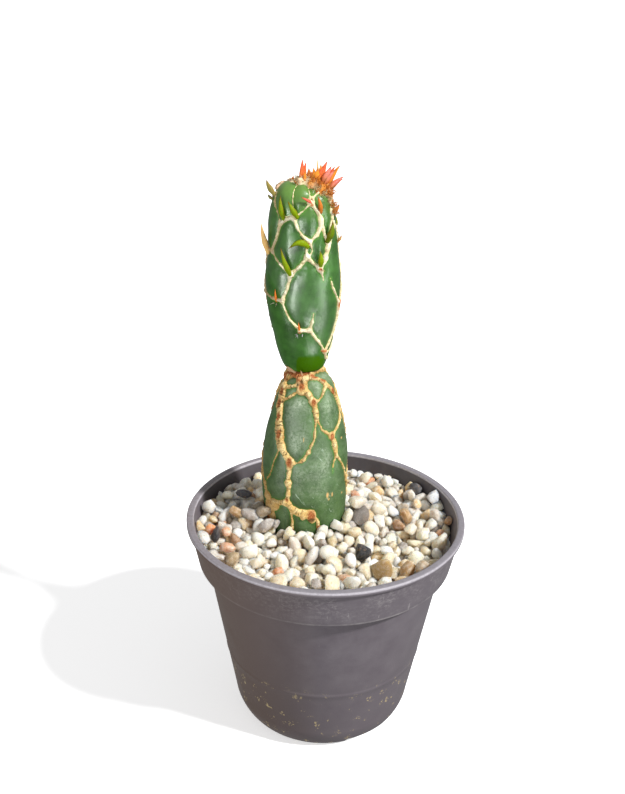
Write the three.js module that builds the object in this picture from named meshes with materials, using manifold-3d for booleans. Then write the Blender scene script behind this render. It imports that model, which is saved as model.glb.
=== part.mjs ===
// Cobra opuntia in a plastic nursery pot, in millimetres, +Z up, origin at the centre of the pot's foot.
// A thin-walled pot holds potting mix and a top dressing of quartz gravel. The plant is two stem segments
// (pads), one grown on the other. A raised net of cork covers each pad and joins its areoles. The young
// upper pad carries awl-shaped leaves, and a woolly crown of new leaves at its growing tip.
import * as THREE from 'three';
import { mergeVertices } from 'three/addons/utils/BufferGeometryUtils.js';
import Module from 'manifold-3d';

const wasm = await Module();
wasm.setup();

// Fits
const GAP = 0.3; // clearance between pieces that rest on each other

// Pot
const RIM_R = 52.5;
const POT_H = 86;
const WALL = 1.4;
const COLLAR_BOTTOM_Z = 69.7;
const COLLAR_BOTTOM_R = 48.4;
const COLLAR_TOP_R = 51.3;
const LIP_Z = 84;
const BODY_TOP_R = 45;
const BODY_TOP_Z = 68.2;
const BODY_LOW_R = 34.8;
const BODY_LOW_Z = 10.5;
const FOOT_R = 28.6;
const FOOT_WIDTH = 4;
const FOOT_H = 2.4;
const FLOOR_TOP_Z = 4;
const POT_SIDES = 40;
const LIP_ROUND = 0.5;
const FLOOR_CORNER = 3.2; // how far the inside corner between wall and floor stands in
const CORNER = { steps: 4, power: 2 / 1.5 }; // the outside corner at the foot, between a chamfer and a round
const FOOT_NOTCHES = { count: 3, firstDeg: 33, widthDeg: 29, height: 1.8, slope: 0.45 }; // slope outwards
const DRAIN = { radius: 1.8, ring: 16, count: 6, sides: 8 };

// Fill
const MIX_TOP_Z = 69.2;
const GRAVEL_TOP_Z = 79.5;
// Stones are about twice their real size. Their spread, tilt and stretch are drawn from one seed.
const STONE = {
  radius: 5.8, low: 0.76, high: 1.16, flat: 0.8, spacing: 9, jitter: 4.5, bed: 77.4, sink: 3.2, wave: 1.4,
};
const STONE_SEED = 11;
const STONE_ROOM = 0.5; // clearance between the stones and the plant

// Pads. A profile is [half width, height] from pole to pole, axis is [height, x] along the pad's middle.
const PLANT_Y = 6;
const DEPTH = 0.8; // thickness of a pad over its width
const PAD_SIDES = 20;
const PAD_RINGS = 15;
const POLE_INSET = 0.004; // share of the profile left off at each pole
const lowerPad = {
  profile: [[0, 64], [7.5, 66], [11.8, 71], [14.4, 79], [15.7, 88], [16.2, 100], [15.5, 113],
    [13.6, 123.5], [11, 133], [8.6, 138.6], [5.4, 141.4], [0, 142.2]],
  axis: [[64, -7.6], [100, -8.4], [142, -7.7]],
};
const upperPad = {
  profile: [[0, 142.5], [5.2, 143], [7.4, 145], [9.2, 150], [10.6, 156], [12.2, 163], [13.2, 171],
    [13.3, 178], [12.6, 186], [11.8, 194], [10.9, 202], [8.9, 207.4], [5.2, 209.9], [0, 210.6]],
  axis: [[142, -9.1], [171, -9.7], [211, -10.9]],
};

// Net. A knot is [turn in degrees from the front, height]. A strand is [half width, knot or point, ...].
// A patch is the cork round an areole, with its radius.
const NET = { base: 0.4, height: 1.2, step: 5.2, samples: 20 };
const upperNet = {
  knots: {
    a1: [-23, 209], a2: [-68, 204], a3: [-41, 197], a4: [-30, 199], a5: [-13, 200], a6: [19, 205],
    a7: [28, 208.6], a8: [36, 199], a9: [26, 194], a10: [12, 191.5], a11: [8, 186.8], a12: [-60, 187.5],
    a13: [-18, 180.8], a14: [28, 183], a15: [48, 189.5], a16: [68, 197], a17: [-33, 171],
    a18: [-4, 160.3], a19: [11, 160.5], a20: [52, 151], a21: [72, 168.3], a22: [-88, 172], a23: [-94, 183],
    a24: [71, 201],
    b1: [76, 206], b2: [98, 194], b3: [94, 182], b4: [118, 186], b5: [112, 172], b6: [100, 157],
    b7: [124, 200], b8: [146, 193], b9: [144, 178], b10: [136, 163], b11: [168, 184], b12: [166, 200],
    b13: [168, 168], b14: [158, 152], b15: [190, 192], b16: [194, 176], b17: [192, 158], b18: [206, 203],
    b19: [218, 186], b20: [218, 168], b21: [240, 195], b22: [242, 178], b23: [238, 160], b24: [262, 205],
    b25: [258, 192], b26: [264, 158],
  },
  strands: [
    [0.55, 'a1', [-16, 206], 'a5'], [0.6, 'a2', [-50, 200.8], 'a3'], [0.85, 'a3', 'a4', 'a5'],
    [0.6, 'a5', [2, 202], 'a6'], [0.6, 'a6', 'a7'], [0.8, 'a6', [30, 202], 'a8', [32, 196], 'a9'],
    [0.8, 'a9', 'a10'], [0.75, 'a5', [-6, 196], 'a10'], [0.8, 'a3', [-49, 192], 'a12'],
    [0.65, 'a12', [-40, 184], 'a13'], [1.0, 'a10', 'a11'], [0.8, 'a11', [-4, 183.5], 'a13'],
    [0.8, 'a11', [19, 184.6], 'a14'], [0.5, 'a14', [32, 180]],
    [1.2, 'a14', [40, 186], 'a15', [54, 192], 'a16'],
    [0.75, 'a15', [43, 194], 'a8'], [0.85, 'a13', [-24, 175.5], 'a17'], [0.75, 'a17', [-52, 171], 'a22'],
    [0.65, 'a17', [-23, 165], 'a18'], [0.8, 'a18', 'a19'], [0.5, 'a19', [17, 165.3]],
    [0.75, 'a19', [29, 156], 'a20'], [0.7, 'a20', [69, 158], 'a21'], [0.6, 'a21', [53, 175], [46, 179]],
    [0.8, 'a20', [70, 147.6], [88, 148]], [0.8, 'a12', [-80, 187], 'a23', [-96, 177], 'a22'],
    [0.7, 'a16', 'a24', 'b1'], [0.7, 'a16', 'b2'], [0.7, 'b2', 'b3'], [0.6, 'b3', [84, 175], 'a21'],
    [0.6, 'b3', 'b5'], [0.7, 'b2', [110, 189], 'b4'], [0.7, 'b4', 'b5'], [0.7, 'b5', 'b6'],
    [0.6, 'a20', [78, 151], 'b6'], [0.7, 'b2', 'b7'], [0.7, 'b7', 'b8'], [0.6, 'b4', 'b8'],
    [0.7, 'b4', 'b9'], [0.6, 'b5', [120, 166], 'b10'], [0.7, 'b9', 'b10'], [0.7, 'b8', 'b11'],
    [0.7, 'b9', 'b11'], [0.6, 'b7', 'b12'], [0.6, 'b12', 'b15'], [0.7, 'b11', 'b15'], [0.6, 'b10', 'b14'],
    [0.7, 'b6', [128, 151], 'b14'], [0.7, 'b11', 'b16'], [0.7, 'b9', 'b13'], [0.6, 'b13', 'b16'],
    [0.7, 'b13', 'b14'], [0.6, 'b14', 'b17'], [0.7, 'b16', 'b20'], [0.6, 'b17', 'b20'], [0.7, 'b15', 'b19'],
    [0.7, 'b19', 'b16'], [0.6, 'b12', 'b18'], [0.6, 'b18', 'b21'], [0.7, 'b15', [205, 197], 'b18'],
    [0.7, 'b19', 'b21'], [0.7, 'b19', 'b22'], [0.7, 'b20', 'b22'], [0.6, 'b20', 'b23'],
    [0.7, 'b21', 'b25'], [0.6, 'b21', 'b24'], [0.6, 'b24', [284, 207], 'a2'], [0.7, 'b25', 'a23'],
    [0.7, 'b22', 'a22'], [0.6, 'b23', 'b26'], [0.6, 'b26', [266, 166], 'a22'], [0.6, 'b25', 'b22'],
  ],
  patches: {
    a4: 1.8, a5: 2, a6: 1.8, a8: 1.7, a10: 1.9, a13: 1.9, a14: 1.9, a21: 1.2, a24: 1.9, b9: 1.4, b22: 1.4,
  },
};
const lowerNet = {
  knots: {
    c1: [-14, 138.8], c2: [-64, 137], c3: [-52, 127.5], c4: [-36, 115.5], c5: [-20, 110.2], c6: [13, 133],
    c7: [17, 128.4], c8: [42, 119.8], c9: [79, 130.5], c10: [49, 111.5], c11: [-23, 93], c12: [10, 88.5],
    c13: [-46, 91.5], c14: [-68, 97.6], c15: [78, 99], c16: [-92, 107], c17: [50, 138.6], c18: [-88, 128],
    c19: [-57, 89], c20: [16, 140.9],
    d1: [92, 124], d2: [104, 110], d3: [98, 90], d4: [110, 137], d5: [130, 121], d6: [128, 100],
    d7: [152, 134], d8: [156, 112], d9: [150, 88], d10: [182, 124], d11: [184, 100], d12: [206, 136],
    d13: [212, 112], d14: [210, 90], d15: [236, 122], d16: [240, 98], d17: [244, 137], d18: [258, 88],
  },
  strands: [
    [1.8, 'c2', [-58, 131.5], 'c3', [-44, 121.2], 'c4'], [1.3, 'c4', 'c5'],
    [0.8, 'c1', [-34, 138.6], 'c2'], [0.7, 'c1', [-30, 134.8], [-54, 131.6]],
    [1.3, 'c1', [0, 136.5], 'c6', 'c7'],
    [1.2, [-98, 140.9], [-60, 140.9], [-20, 140.6], 'c20', [60, 141.4], [110, 141.2], [170, 140.6],
      [220, 140.6], [262, 140.9]],
    [0.5, 'c7', [13.5, 120], [5, 114.3], [-6, 110.4], 'c5'], [0.65, 'c7', [26, 123], 'c8'],
    [0.6, 'c6', [24, 133.4], [38, 136], 'c17'], [0.7, 'c9', [72, 125.4], 'c8'],
    [0.9, 'c20', [36, 140.4], 'c17'], [0.8, 'c17', [66, 135.8], 'c9'], [0.9, 'c8', [47, 115], 'c10'],
    [0.5, 'c10', [43, 108.5], [41, 105]], [0.6, 'c10', [65, 106], 'c15'],
    [1.1, 'c5', [-21, 104], [-20, 98.6], 'c11'], [1.6, 'c11', [-8, 89.5], 'c12'],
    [0.9, 'c12', [20, 85], [22, 83]], [1.2, 'c11', 'c13'], [0.7, 'c11', [-17, 87], [-19, 82.5]],
    [0.4, 'c4', [-47, 108.2], [-54, 102.5], 'c14'], [0.8, 'c14', [-82, 102], 'c16'],
    [0.9, 'c14', 'c19'], [1.2, 'c19', 'c13'], [1.5, 'c19', [-63, 84], [-64, 82]],
    [0.7, 'c16', [-96, 118], 'c18'],
    [0.9, 'c18', [-76, 134], 'c2'], [0.6, 'c18', 'd17'], [0.8, 'c9', [92, 135], 'd4'],
    [0.6, 'd4', [112, 141]], [0.6, 'd7', [150, 140.6]], [0.6, 'd12', [208, 140.6]],
    [0.6, 'd17', [244, 140.8]],
    [0.7, 'c9', [84, 129], 'd1'], [0.7, 'd1', 'd2'], [0.6, 'd2', [88, 104], 'c15'], [0.6, 'c15', 'd3'],
    [0.7, 'd1', [110, 130], 'd5'], [0.7, 'd4', 'd5'], [0.6, 'd2', [118, 104], 'd6'], [0.6, 'd5', 'd8'],
    [0.7, 'd6', 'd3'], [0.8, 'd3', [100, 84], [101, 82]], [0.7, 'd6', 'd8'], [0.7, 'd6', 'd9'],
    [0.9, 'd4', [130, 138.6], 'd7'], [0.7, 'd7', [166, 129], 'd10'], [0.6, 'd8', [168, 117], 'd10'],
    [0.7, 'd8', 'd11'], [0.7, 'd9', [166, 94], 'd11'], [0.8, 'd9', [150, 82]], [0.9, 'd7', [180, 138], 'd12'],
    [0.7, 'd10', [194, 130], 'd12'], [0.7, 'd10', [198, 116], 'd13'], [0.6, 'd11', 'd13'],
    [0.7, 'd11', 'd14'], [0.9, 'd14', [210, 82]], [0.7, 'd12', [224, 130], 'd15'], [0.7, 'd13', 'd15'],
    [0.7, 'd13', [226, 104], 'd16'], [0.6, 'd14', 'd16'], [0.7, 'd15', [254, 114], 'c16'],
    [0.7, 'd16', [250, 94], 'd18'], [0.8, 'd18', [258, 82]], [0.6, 'd16', [256, 103], 'c16'],
    [1.0, 'd12', 'd17', [270, 136], 'c2'], [0.6, 'd17', 'd15'],
  ],
  patches: { c1: 2.2, c4: 2, c5: 2.2, c6: 2, c8: 2, c11: 2.3, c12: 2.1, c19: 2.8, d5: 2, d8: 2, d13: 2 },
};
const PATCH = { sides: 6, top: 0.6, height: 1.35 };

// Leaves and spines of the upper pad: [turn, height, length, side lean, lift off the skin], leans in degrees
const AWL_SIDES = 4;
const AWL_SHAPE = [[-0.12, 1], [0.3, 1], [0.68, 0.66], [0.97, 0.12]]; // [share of length, share of radius]
const AWL_ACROSS = new THREE.Vector3(0.31, 0.93, 0.17); // a way that no awl points, to set its sides from
const AWL_BOW = 0.12; // how far the middle of a leaf stands off its chord, over its length
const LEAF_R = 0.95;
const ROOT_ROOM = 0.35; // clearance of the hole that a root passes through
const LEAVES = [
  [-32, 199.4, 7.5, -8, 6], [-8, 200.4, 5.8, -29, 11], [11, 191, 7.2, -98, 4], [-18, 180.6, 9.8, -18, 8],
  [47, 192, 6.6, 12, 13], [29, 183.6, 5.6, -3, 10], [-74, 186.8, 10.2, 0, 17], [-78, 206.2, 5.2, -38, 44],
  [36, 201.8, 5.4, -8, 4], [70, 200.8, 3.8, -5, 46], [19, 204.8, 3.8, -53, 10], [78, 191.6, 2.6, 10, 24],
  [106, 194.6, 6.4, 24, 8], [118, 186.6, 7.8, -12, 12], [146, 193.6, 7, 14, 14], [168, 184.6, 8.2, -8, 10],
  [190, 192.6, 6.6, 20, 14], [166, 200.6, 5.6, -16, 14], [218, 186.6, 8, 6, 12], [240, 195.6, 7.2, -14, 14],
  [206, 203.4, 5.2, 10, 18], [124, 200.6, 5.6, 12, 16], [194, 176.6, 7, -18, 12], [144, 178.6, 7.6, 12, 12],
];
const SPINE_R = 0.45;
const SPINES = [
  [-44, 170.6, 4.7, 8, 10], [-6, 160.6, 3.6, -2, 12], [112, 172.6, 4.6, 10, 14], [218, 168.6, 4.8, 8, 12],
];

// Crown: a felted cushion that falls over the right shoulder of the tip, with young leaves that stand out of
// it. A cushion is an ellipsoid that leans to the right. A leaf is [root, tip].
const CROWN_CUSHIONS = [
  { at: [-6, 6, 208.6], radii: [5.8, 4.8, 3.6], lean: 15 },
  { at: [-10.6, 6, 210.2], radii: [2.4, 2.8, 1.8], lean: 0 },
  { at: [-2, 6, 204.8], radii: [1.7, 3.2, 3.8], lean: 12 },
];
const CUSHION_SIDES = 10;
const CUSHION_RINGS = 6;
const CROWN_LEAF_R = 0.85;
const CROWN_LEAF_BOW = 0.04;
const CROWN_LEAVES = [
  [[-11, 5, 210.6], [-11.3, 4.6, 217.5]], [[-10.6, 6.2, 210.6], [-9.6, 6.4, 216.8]],
  [[-8.8, 6.5, 211], [-8.5, 6.8, 214.6]], [[-5.6, 7.4, 211], [-6.4, 8, 217.9]],
  [[-6, 4.4, 210.6], [-5.5, 3.6, 215]], [[-4.8, 5.2, 210.8], [-2.9, 5, 217.3]],
  [[-3.6, 4.2, 210], [-1.4, 3.4, 215.8]], [[-2.4, 6.2, 209.6], [1.5, 6.4, 216.2]],
  [[-1.6, 5, 208.8], [2.6, 4.6, 212.6]], [[-8, 8.8, 210.4], [-8.8, 11, 216.2]],
  [[-5, 9.4, 209.8], [-4.6, 12.2, 215.8]], [[-2.6, 8.8, 209.2], [0, 11.4, 214.8]],
  [[-1.2, 7.4, 207.8], [3, 8.6, 210.6]], [[-4.4, 2.6, 209.4], [-3.8, 0.4, 213.4]],
];

const materials = {
  pot: new THREE.MeshStandardMaterial({ color: 0x5f5a60, roughness: 0.55, metalness: 0 }),
  mix: new THREE.MeshStandardMaterial({ color: 0x3a2c20, roughness: 0.95, metalness: 0 }),
  gravel: new THREE.MeshStandardMaterial({ color: 0xd9cfbd, roughness: 0.6, metalness: 0 }),
  lowerSkin: new THREE.MeshStandardMaterial({ color: 0x4b7048, roughness: 0.5, metalness: 0 }),
  upperSkin: new THREE.MeshStandardMaterial({ color: 0x3f7038, roughness: 0.35, metalness: 0 }),
  lowerCork: new THREE.MeshStandardMaterial({ color: 0xd8b478, roughness: 0.9, metalness: 0 }),
  upperCork: new THREE.MeshStandardMaterial({ color: 0xe6dab4, roughness: 0.9, metalness: 0 }),
  crown: new THREE.MeshStandardMaterial({ color: 0xe8845c, roughness: 0.7, metalness: 0 }),
};

const radians = THREE.MathUtils.degToRad;

/** A repeatable source of random numbers from 0 to 1. */
function randomSource(seed) {
  let state = seed;
  return () => {
    state = (state + 0x6d2b79f5) | 0;
    let t = Math.imul(state ^ (state >>> 15), 1 | state);
    t = (t + Math.imul(t ^ (t >>> 7), 61 | t)) ^ t;
    return ((t ^ (t >>> 14)) >>> 0) / 4294967296;
  };
}

/** A geometry as a manifold solid: shared vertices merged, collapsed triangles dropped. */
function solid(geometry) {
  const bare = geometry.clone();
  bare.deleteAttribute('normal');
  bare.deleteAttribute('uv');
  const merged = mergeVertices(bare, 1e-4);
  const kept = [];
  for (let i = 0; i < merged.index.count; i += 3) {
    const [a, b, c] = [0, 1, 2].map((k) => merged.index.getX(i + k));
    if (a !== b && b !== c && c !== a) kept.push(a, b, c);
  }
  return new wasm.Manifold(new wasm.Mesh({
    numProp: 3,
    vertProperties: merged.attributes.position.array,
    triVerts: new Uint32Array(kept),
  }));
}

function union(solids) {
  return wasm.Manifold.union(solids);
}

/** The solid's largest body, without scraps that a cut leaves loose. */
function mainBody(made) {
  return made.decompose().sort((a, b) => b.volume() - a.volume())[0];
}

function namedMesh(name, made, material) {
  const { numProp, numVert, vertProperties, triVerts } = made.getMesh();
  const positions = new Float32Array(numVert * 3);
  for (let i = 0; i < numVert; i++) {
    positions.set(vertProperties.subarray(i * numProp, i * numProp + 3), i * 3);
  }
  const geometry = new THREE.BufferGeometry();
  geometry.setAttribute('position', new THREE.BufferAttribute(positions, 3));
  geometry.setIndex(new THREE.BufferAttribute(new Uint32Array(triVerts), 1));
  geometry.computeVertexNormals();
  const mesh = new THREE.Mesh(geometry, material);
  mesh.name = name;
  return mesh;
}

/** A closed skin through rings of equal length that run counter-clockwise about the way they follow. */
function loft(rings) {
  const sides = rings[0].length;
  const positions = rings.flat().flatMap((p) => [p.x, p.y, p.z]);
  const index = [];
  for (let i = 0; i + 1 < rings.length; i++) {
    for (let k = 0; k < sides; k++) {
      const a = i * sides + k;
      const b = i * sides + ((k + 1) % sides);
      index.push(a, b, b + sides, a, b + sides, a + sides);
    }
  }
  const last = (rings.length - 1) * sides;
  for (let k = 1; k + 1 < sides; k++) {
    index.push(0, k + 1, k, last, last + k, last + k + 1);
  }
  const geometry = new THREE.BufferGeometry();
  geometry.setAttribute('position', new THREE.Float32BufferAttribute(positions, 3));
  geometry.setIndex(index);
  return geometry;
}

/** A solid of revolution about Z from a closed profile of [radius, height]. */
function turned(profile) {
  const points = profile.map(([r, z]) => new THREE.Vector2(r, z));
  return solid(new THREE.LatheGeometry(points, POT_SIDES).rotateX(Math.PI / 2));
}

/** The x of a pad's middle line at height z. */
function middleAt(pad, z) {
  const [[z0], ...rest] = pad.axis;
  const height = THREE.MathUtils.clamp(z, z0, rest.at(-1)[0]);
  const i = rest.findIndex(([top]) => top >= height);
  const [[low, x0], [high, x1]] = [pad.axis[i], rest[i]];
  return THREE.MathUtils.mapLinear(height, low, high, x0, x1);
}

/** A pad's profile as one smooth curve of (half width, height). */
function padCurve(pad) {
  return new THREE.SplineCurve(pad.profile.map(([r, z]) => new THREE.Vector2(r, z)));
}

/** The share of the way up a pad's profile curve at which it reaches height z. */
function shareAt(curve, z) {
  let low = 0;
  let high = 1;
  for (let i = 0; i < 30; i++) {
    const middle = (low + high) / 2;
    if (curve.getPoint(middle).y < z) low = middle;
    else high = middle;
  }
  return (low + high) / 2;
}

/** The point of a pad's skin at a turn from the front and a share of its profile, lifted along the normal. */
function skinPoint(pad, curve, turn, share, lift = 0) {
  const p = curve.getPoint(share);
  const t = curve.getTangent(share);
  const a = radians(turn);
  const radius = Math.max(p.x, 0);
  const normal = new THREE.Vector3(t.y * Math.sin(a) * DEPTH, -t.y * Math.cos(a), -t.x * DEPTH).normalize();
  const point = new THREE.Vector3(
    middleAt(pad, p.y) + radius * Math.sin(a),
    PLANT_Y - DEPTH * radius * Math.cos(a),
    p.y,
  );
  return { point: point.addScaledVector(normal, lift), normal };
}

function padSolid(pad, grow = 0) {
  const curve = padCurve(pad);
  const rings = [];
  for (let i = 0; i < PAD_RINGS; i++) {
    const share = POLE_INSET + ((1 - 2 * POLE_INSET) * i) / (PAD_RINGS - 1);
    const ring = [];
    for (let k = 0; k < PAD_SIDES; k++) {
      ring.push(skinPoint(pad, curve, (360 * k) / PAD_SIDES, share, grow).point);
    }
    rings.push(ring);
  }
  return solid(loft(rings));
}

/** One strand of the net: a low ridge along a smooth line on the skin. */
function strandSolid(pad, curve, net, [halfWidth, ...stops], grow) {
  const places = stops.map((s) => (typeof s === 'string' ? net.knots[s] : s));
  for (let i = 1; i < places.length; i++) {
    const turns = Math.round((places[i - 1][0] - places[i][0]) / 360);
    places[i] = [places[i][0] + 360 * turns, places[i][1]];
  }
  const route = new THREE.SplineCurve(places.map(([turn, z]) => new THREE.Vector2(turn, z)));
  const at = (s, lift) => {
    const p = route.getPoint(THREE.MathUtils.clamp(s, 0, 1));
    return skinPoint(pad, curve, p.x, shareAt(curve, p.y), lift);
  };
  let length = 0;
  for (let i = 0; i < NET.samples; i++) {
    length += at(i / NET.samples, 0).point.distanceTo(at((i + 1) / NET.samples, 0).point);
  }
  const steps = Math.ceil(length / NET.step);
  const rings = [];
  for (let i = 0; i <= steps; i++) {
    const { point, normal } = at(i / steps, 0);
    const nearby = 0.4 / NET.samples;
    const heading = at(i / steps + nearby, 0).point.sub(at(i / steps - nearby, 0).point).normalize();
    const side = new THREE.Vector3().crossVectors(normal, heading).normalize();
    const w = halfWidth + grow;
    const section = [[w, NET.base - grow], [0, NET.height + grow], [-w, NET.base - grow]];
    rings.push(section.map(([across, up]) => point.clone().addScaledVector(side, across)
      .addScaledVector(normal, up)));
  }
  return solid(loft(rings));
}

/** The cork patch round one areole: a low round boss. */
function patchSolid(pad, curve, [turn, z], radius, grow) {
  const { point, normal } = skinPoint(pad, curve, turn, shareAt(curve, z));
  const up = Math.abs(normal.z) > 0.9 ? new THREE.Vector3(0, -1, 0) : new THREE.Vector3(0, 0, 1);
  const side = new THREE.Vector3().crossVectors(up, normal).normalize();
  const rise = new THREE.Vector3().crossVectors(normal, side);
  const section = [[radius + grow, NET.base - grow], [PATCH.top * radius + grow, PATCH.height + grow]];
  return solid(loft(section.map(([r, lift]) => Array.from({ length: PATCH.sides }, (_, k) => {
    const a = (2 * Math.PI * k) / PATCH.sides;
    return point.clone().addScaledVector(side, r * Math.cos(a)).addScaledVector(rise, r * Math.sin(a))
      .addScaledVector(normal, lift);
  }))));
}

/** A pad's whole net, or the space it needs when it is grown. */
function netSolid(pad, net, grow = 0) {
  const curve = padCurve(pad);
  const pieces = net.strands.map((strand) => strandSolid(pad, curve, net, strand, grow));
  for (const [name, radius] of Object.entries(net.patches)) {
    pieces.push(patchSolid(pad, curve, net.knots[name], radius, grow));
  }
  return union(pieces);
}

/** An awl from root to tip, whose middle stands off its chord by the vector bow. */
function awlSolid(root, tip, bow, radius) {
  const chord = tip.clone().sub(root);
  const rings = AWL_SHAPE.map(([s, width]) => {
    const heading = chord.clone().addScaledVector(bow, 4 * (1 - 2 * s)).normalize();
    const centre = root.clone().addScaledVector(chord, s).addScaledVector(bow, 4 * s * (1 - s));
    const side = new THREE.Vector3().crossVectors(heading, AWL_ACROSS).normalize();
    const rise = new THREE.Vector3().crossVectors(heading, side);
    return Array.from({ length: AWL_SIDES }, (_, k) => {
      const a = (2 * Math.PI * k) / AWL_SIDES;
      return centre.clone().addScaledVector(side, width * radius * Math.cos(a))
        .addScaledVector(rise, width * radius * Math.sin(a));
    });
  });
  return solid(loft(rings));
}

/** A leaf or spine that grows from a pad's skin and lies up along it. */
function padAwl(pad, [turn, z, length, lean, lift], radius) {
  const curve = padCurve(pad);
  const share = shareAt(curve, z);
  const { point, normal } = skinPoint(pad, curve, turn, share);
  const up = skinPoint(pad, curve, turn, Math.min(share + 0.01, 1)).point
    .sub(skinPoint(pad, curve, turn, share - 0.01).point).normalize();
  const side = new THREE.Vector3().crossVectors(up, normal).normalize();
  const flat = up.multiplyScalar(Math.cos(radians(lean))).addScaledVector(side, Math.sin(radians(lean)));
  const reach = flat.multiplyScalar(Math.cos(radians(lift))).addScaledVector(normal, Math.sin(radians(lift)));
  const tip = point.clone().addScaledVector(reach, length);
  return awlSolid(point, tip, normal.multiplyScalar(AWL_BOW * length), radius);
}

/** The pot's inside from the middle of the floor up to the rim, kept clear of the wall by a gap. */
function innerWall(gap) {
  return [[0, FLOOR_TOP_Z + gap], [FOOT_R - 1, FLOOR_TOP_Z + gap],
    [BODY_LOW_R - FLOOR_CORNER - gap, FLOOR_TOP_Z + 0.75 * FLOOR_CORNER + gap],
    [BODY_LOW_R - WALL - gap, BODY_LOW_Z + 0.5 * WALL],
    [BODY_TOP_R - WALL - gap, BODY_TOP_Z + WALL + gap],
    [COLLAR_BOTTOM_R - WALL - gap, COLLAR_BOTTOM_Z + WALL + gap],
    [COLLAR_TOP_R - WALL - gap, POT_H - LIP_ROUND]];
}

/** A cut that makes one drainage notch through the foot ring, rising through the corner outside it. */
function notchCut(middle) {
  const { widthDeg, height, slope } = FOOT_NOTCHES;
  const inner = FOOT_R - 2 * FOOT_WIDTH;
  const section = [[inner, -height], [RIM_R, -height], [RIM_R, height + slope * (RIM_R - FOOT_R)],
    [FOOT_R, height], [inner, height]];
  return solid(loft([0.5, 0.25, 0, -0.25, -0.5].map((share) => {
    const a = radians(middle + share * widthDeg);
    return section.map(([r, z]) => new THREE.Vector3(r * Math.sin(a), -r * Math.cos(a), z));
  })));
}

function drainCut(angle) {
  const hole = new THREE.CylinderGeometry(DRAIN.radius, DRAIN.radius, 3 * FLOOR_TOP_Z, DRAIN.sides);
  const [x, y] = [DRAIN.ring * Math.cos(angle), DRAIN.ring * Math.sin(angle)];
  return solid(hole.rotateX(Math.PI / 2).translate(x, y, FLOOR_TOP_Z));
}

function potSolid() {
  const corner = Array.from({ length: CORNER.steps }, (_, i) => {
    const a = (Math.PI / 2) * (1 - (i + 1) / CORNER.steps);
    const out = Math.cos(a) ** CORNER.power;
    const up = 1 - Math.sin(a) ** CORNER.power;
    return [FOOT_R + (BODY_LOW_R - FOOT_R) * out, BODY_LOW_Z * up];
  });
  const outside = [
    [0, FOOT_H], [FOOT_R - FOOT_WIDTH - 1, FOOT_H], [FOOT_R - FOOT_WIDTH, 0], [FOOT_R, 0],
    ...corner, [BODY_TOP_R, BODY_TOP_Z],
    [COLLAR_BOTTOM_R - LIP_ROUND, COLLAR_BOTTOM_Z - 0.5 * LIP_ROUND], [COLLAR_BOTTOM_R, COLLAR_BOTTOM_Z],
    [COLLAR_TOP_R, LIP_Z], [RIM_R, LIP_Z + 0.5 * LIP_ROUND],
    [RIM_R, POT_H - LIP_ROUND], [RIM_R - LIP_ROUND, POT_H], [COLLAR_TOP_R - WALL + LIP_ROUND, POT_H],
  ];
  const notches = Array.from({ length: FOOT_NOTCHES.count }, (_, i) =>
    notchCut(FOOT_NOTCHES.firstDeg + (360 * i) / FOOT_NOTCHES.count));
  const drains = Array.from({ length: DRAIN.count }, (_, i) => drainCut((2 * Math.PI * i) / DRAIN.count));
  return turned([...outside, ...innerWall(0).reverse()]).subtract(union([...notches, ...drains]));
}

/** The space inside the pot, kept clear of its wall, from one height up to another. */
function cavity(bottom, top) {
  const slab = new THREE.BoxGeometry(3 * RIM_R, 3 * RIM_R, top - bottom).translate(0, 0, (top + bottom) / 2);
  return turned([...innerWall(GAP), [0, POT_H - LIP_ROUND]]).intersect(solid(slab));
}

/** Stones on a jittered triangular grid, sunk in a bed and in each other. */
function gravelSolid() {
  const random = randomSource(STONE_SEED);
  const either = (size) => (random() - 0.5) * size;
  const stretch = () => STONE.low + (STONE.high - STONE.low) * random();
  const pieces = [cavity(MIX_TOP_Z + GAP, STONE.bed)];
  const rowStep = (STONE.spacing * Math.sqrt(3)) / 2;
  const rows = Math.ceil(RIM_R / rowStep);
  for (let row = -rows; row <= rows; row++) {
    for (let column = -rows; column <= rows; column++) {
      const x = (column + (row % 2 ? 0.5 : 0)) * STONE.spacing + either(STONE.jitter);
      const y = row * rowStep + either(STONE.jitter);
      const stone = new THREE.IcosahedronGeometry(STONE.radius, 0)
        .rotateX(2 * Math.PI * random()).rotateZ(2 * Math.PI * random())
        .scale(stretch(), stretch(), STONE.flat * stretch())
        .translate(x, y, GRAVEL_TOP_Z - STONE.sink + either(STONE.wave));
      if (Math.hypot(x, y) < COLLAR_BOTTOM_R) pieces.push(solid(stone));
    }
  }
  const plant = union([padSolid(lowerPad, STONE_ROOM), netSolid(lowerPad, lowerNet, STONE_ROOM)]);
  return mainBody(union(pieces).intersect(cavity(MIX_TOP_Z + GAP, POT_H)).subtract(plant));
}

/** The crown's cushions and leaves, or the space they need when they are grown. */
function crownSolid(grow = 0) {
  const cushions = CROWN_CUSHIONS.map(({ at, radii, lean }) => solid(
    new THREE.SphereGeometry(1, CUSHION_SIDES, CUSHION_RINGS).rotateX(Math.PI / 2)
      .scale(...radii.map((r) => r + grow))
      .rotateY(radians(lean)).translate(...at),
  ));
  const young = CROWN_LEAVES.map(([root, tip]) => {
    const [from, to] = [root, tip].map((p) => new THREE.Vector3(...p));
    const bow = new THREE.Vector3(0, 0, CROWN_LEAF_BOW * from.distanceTo(to));
    return awlSolid(from, to, bow, CROWN_LEAF_R + grow);
  });
  return union([...cushions, ...young]);
}

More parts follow.
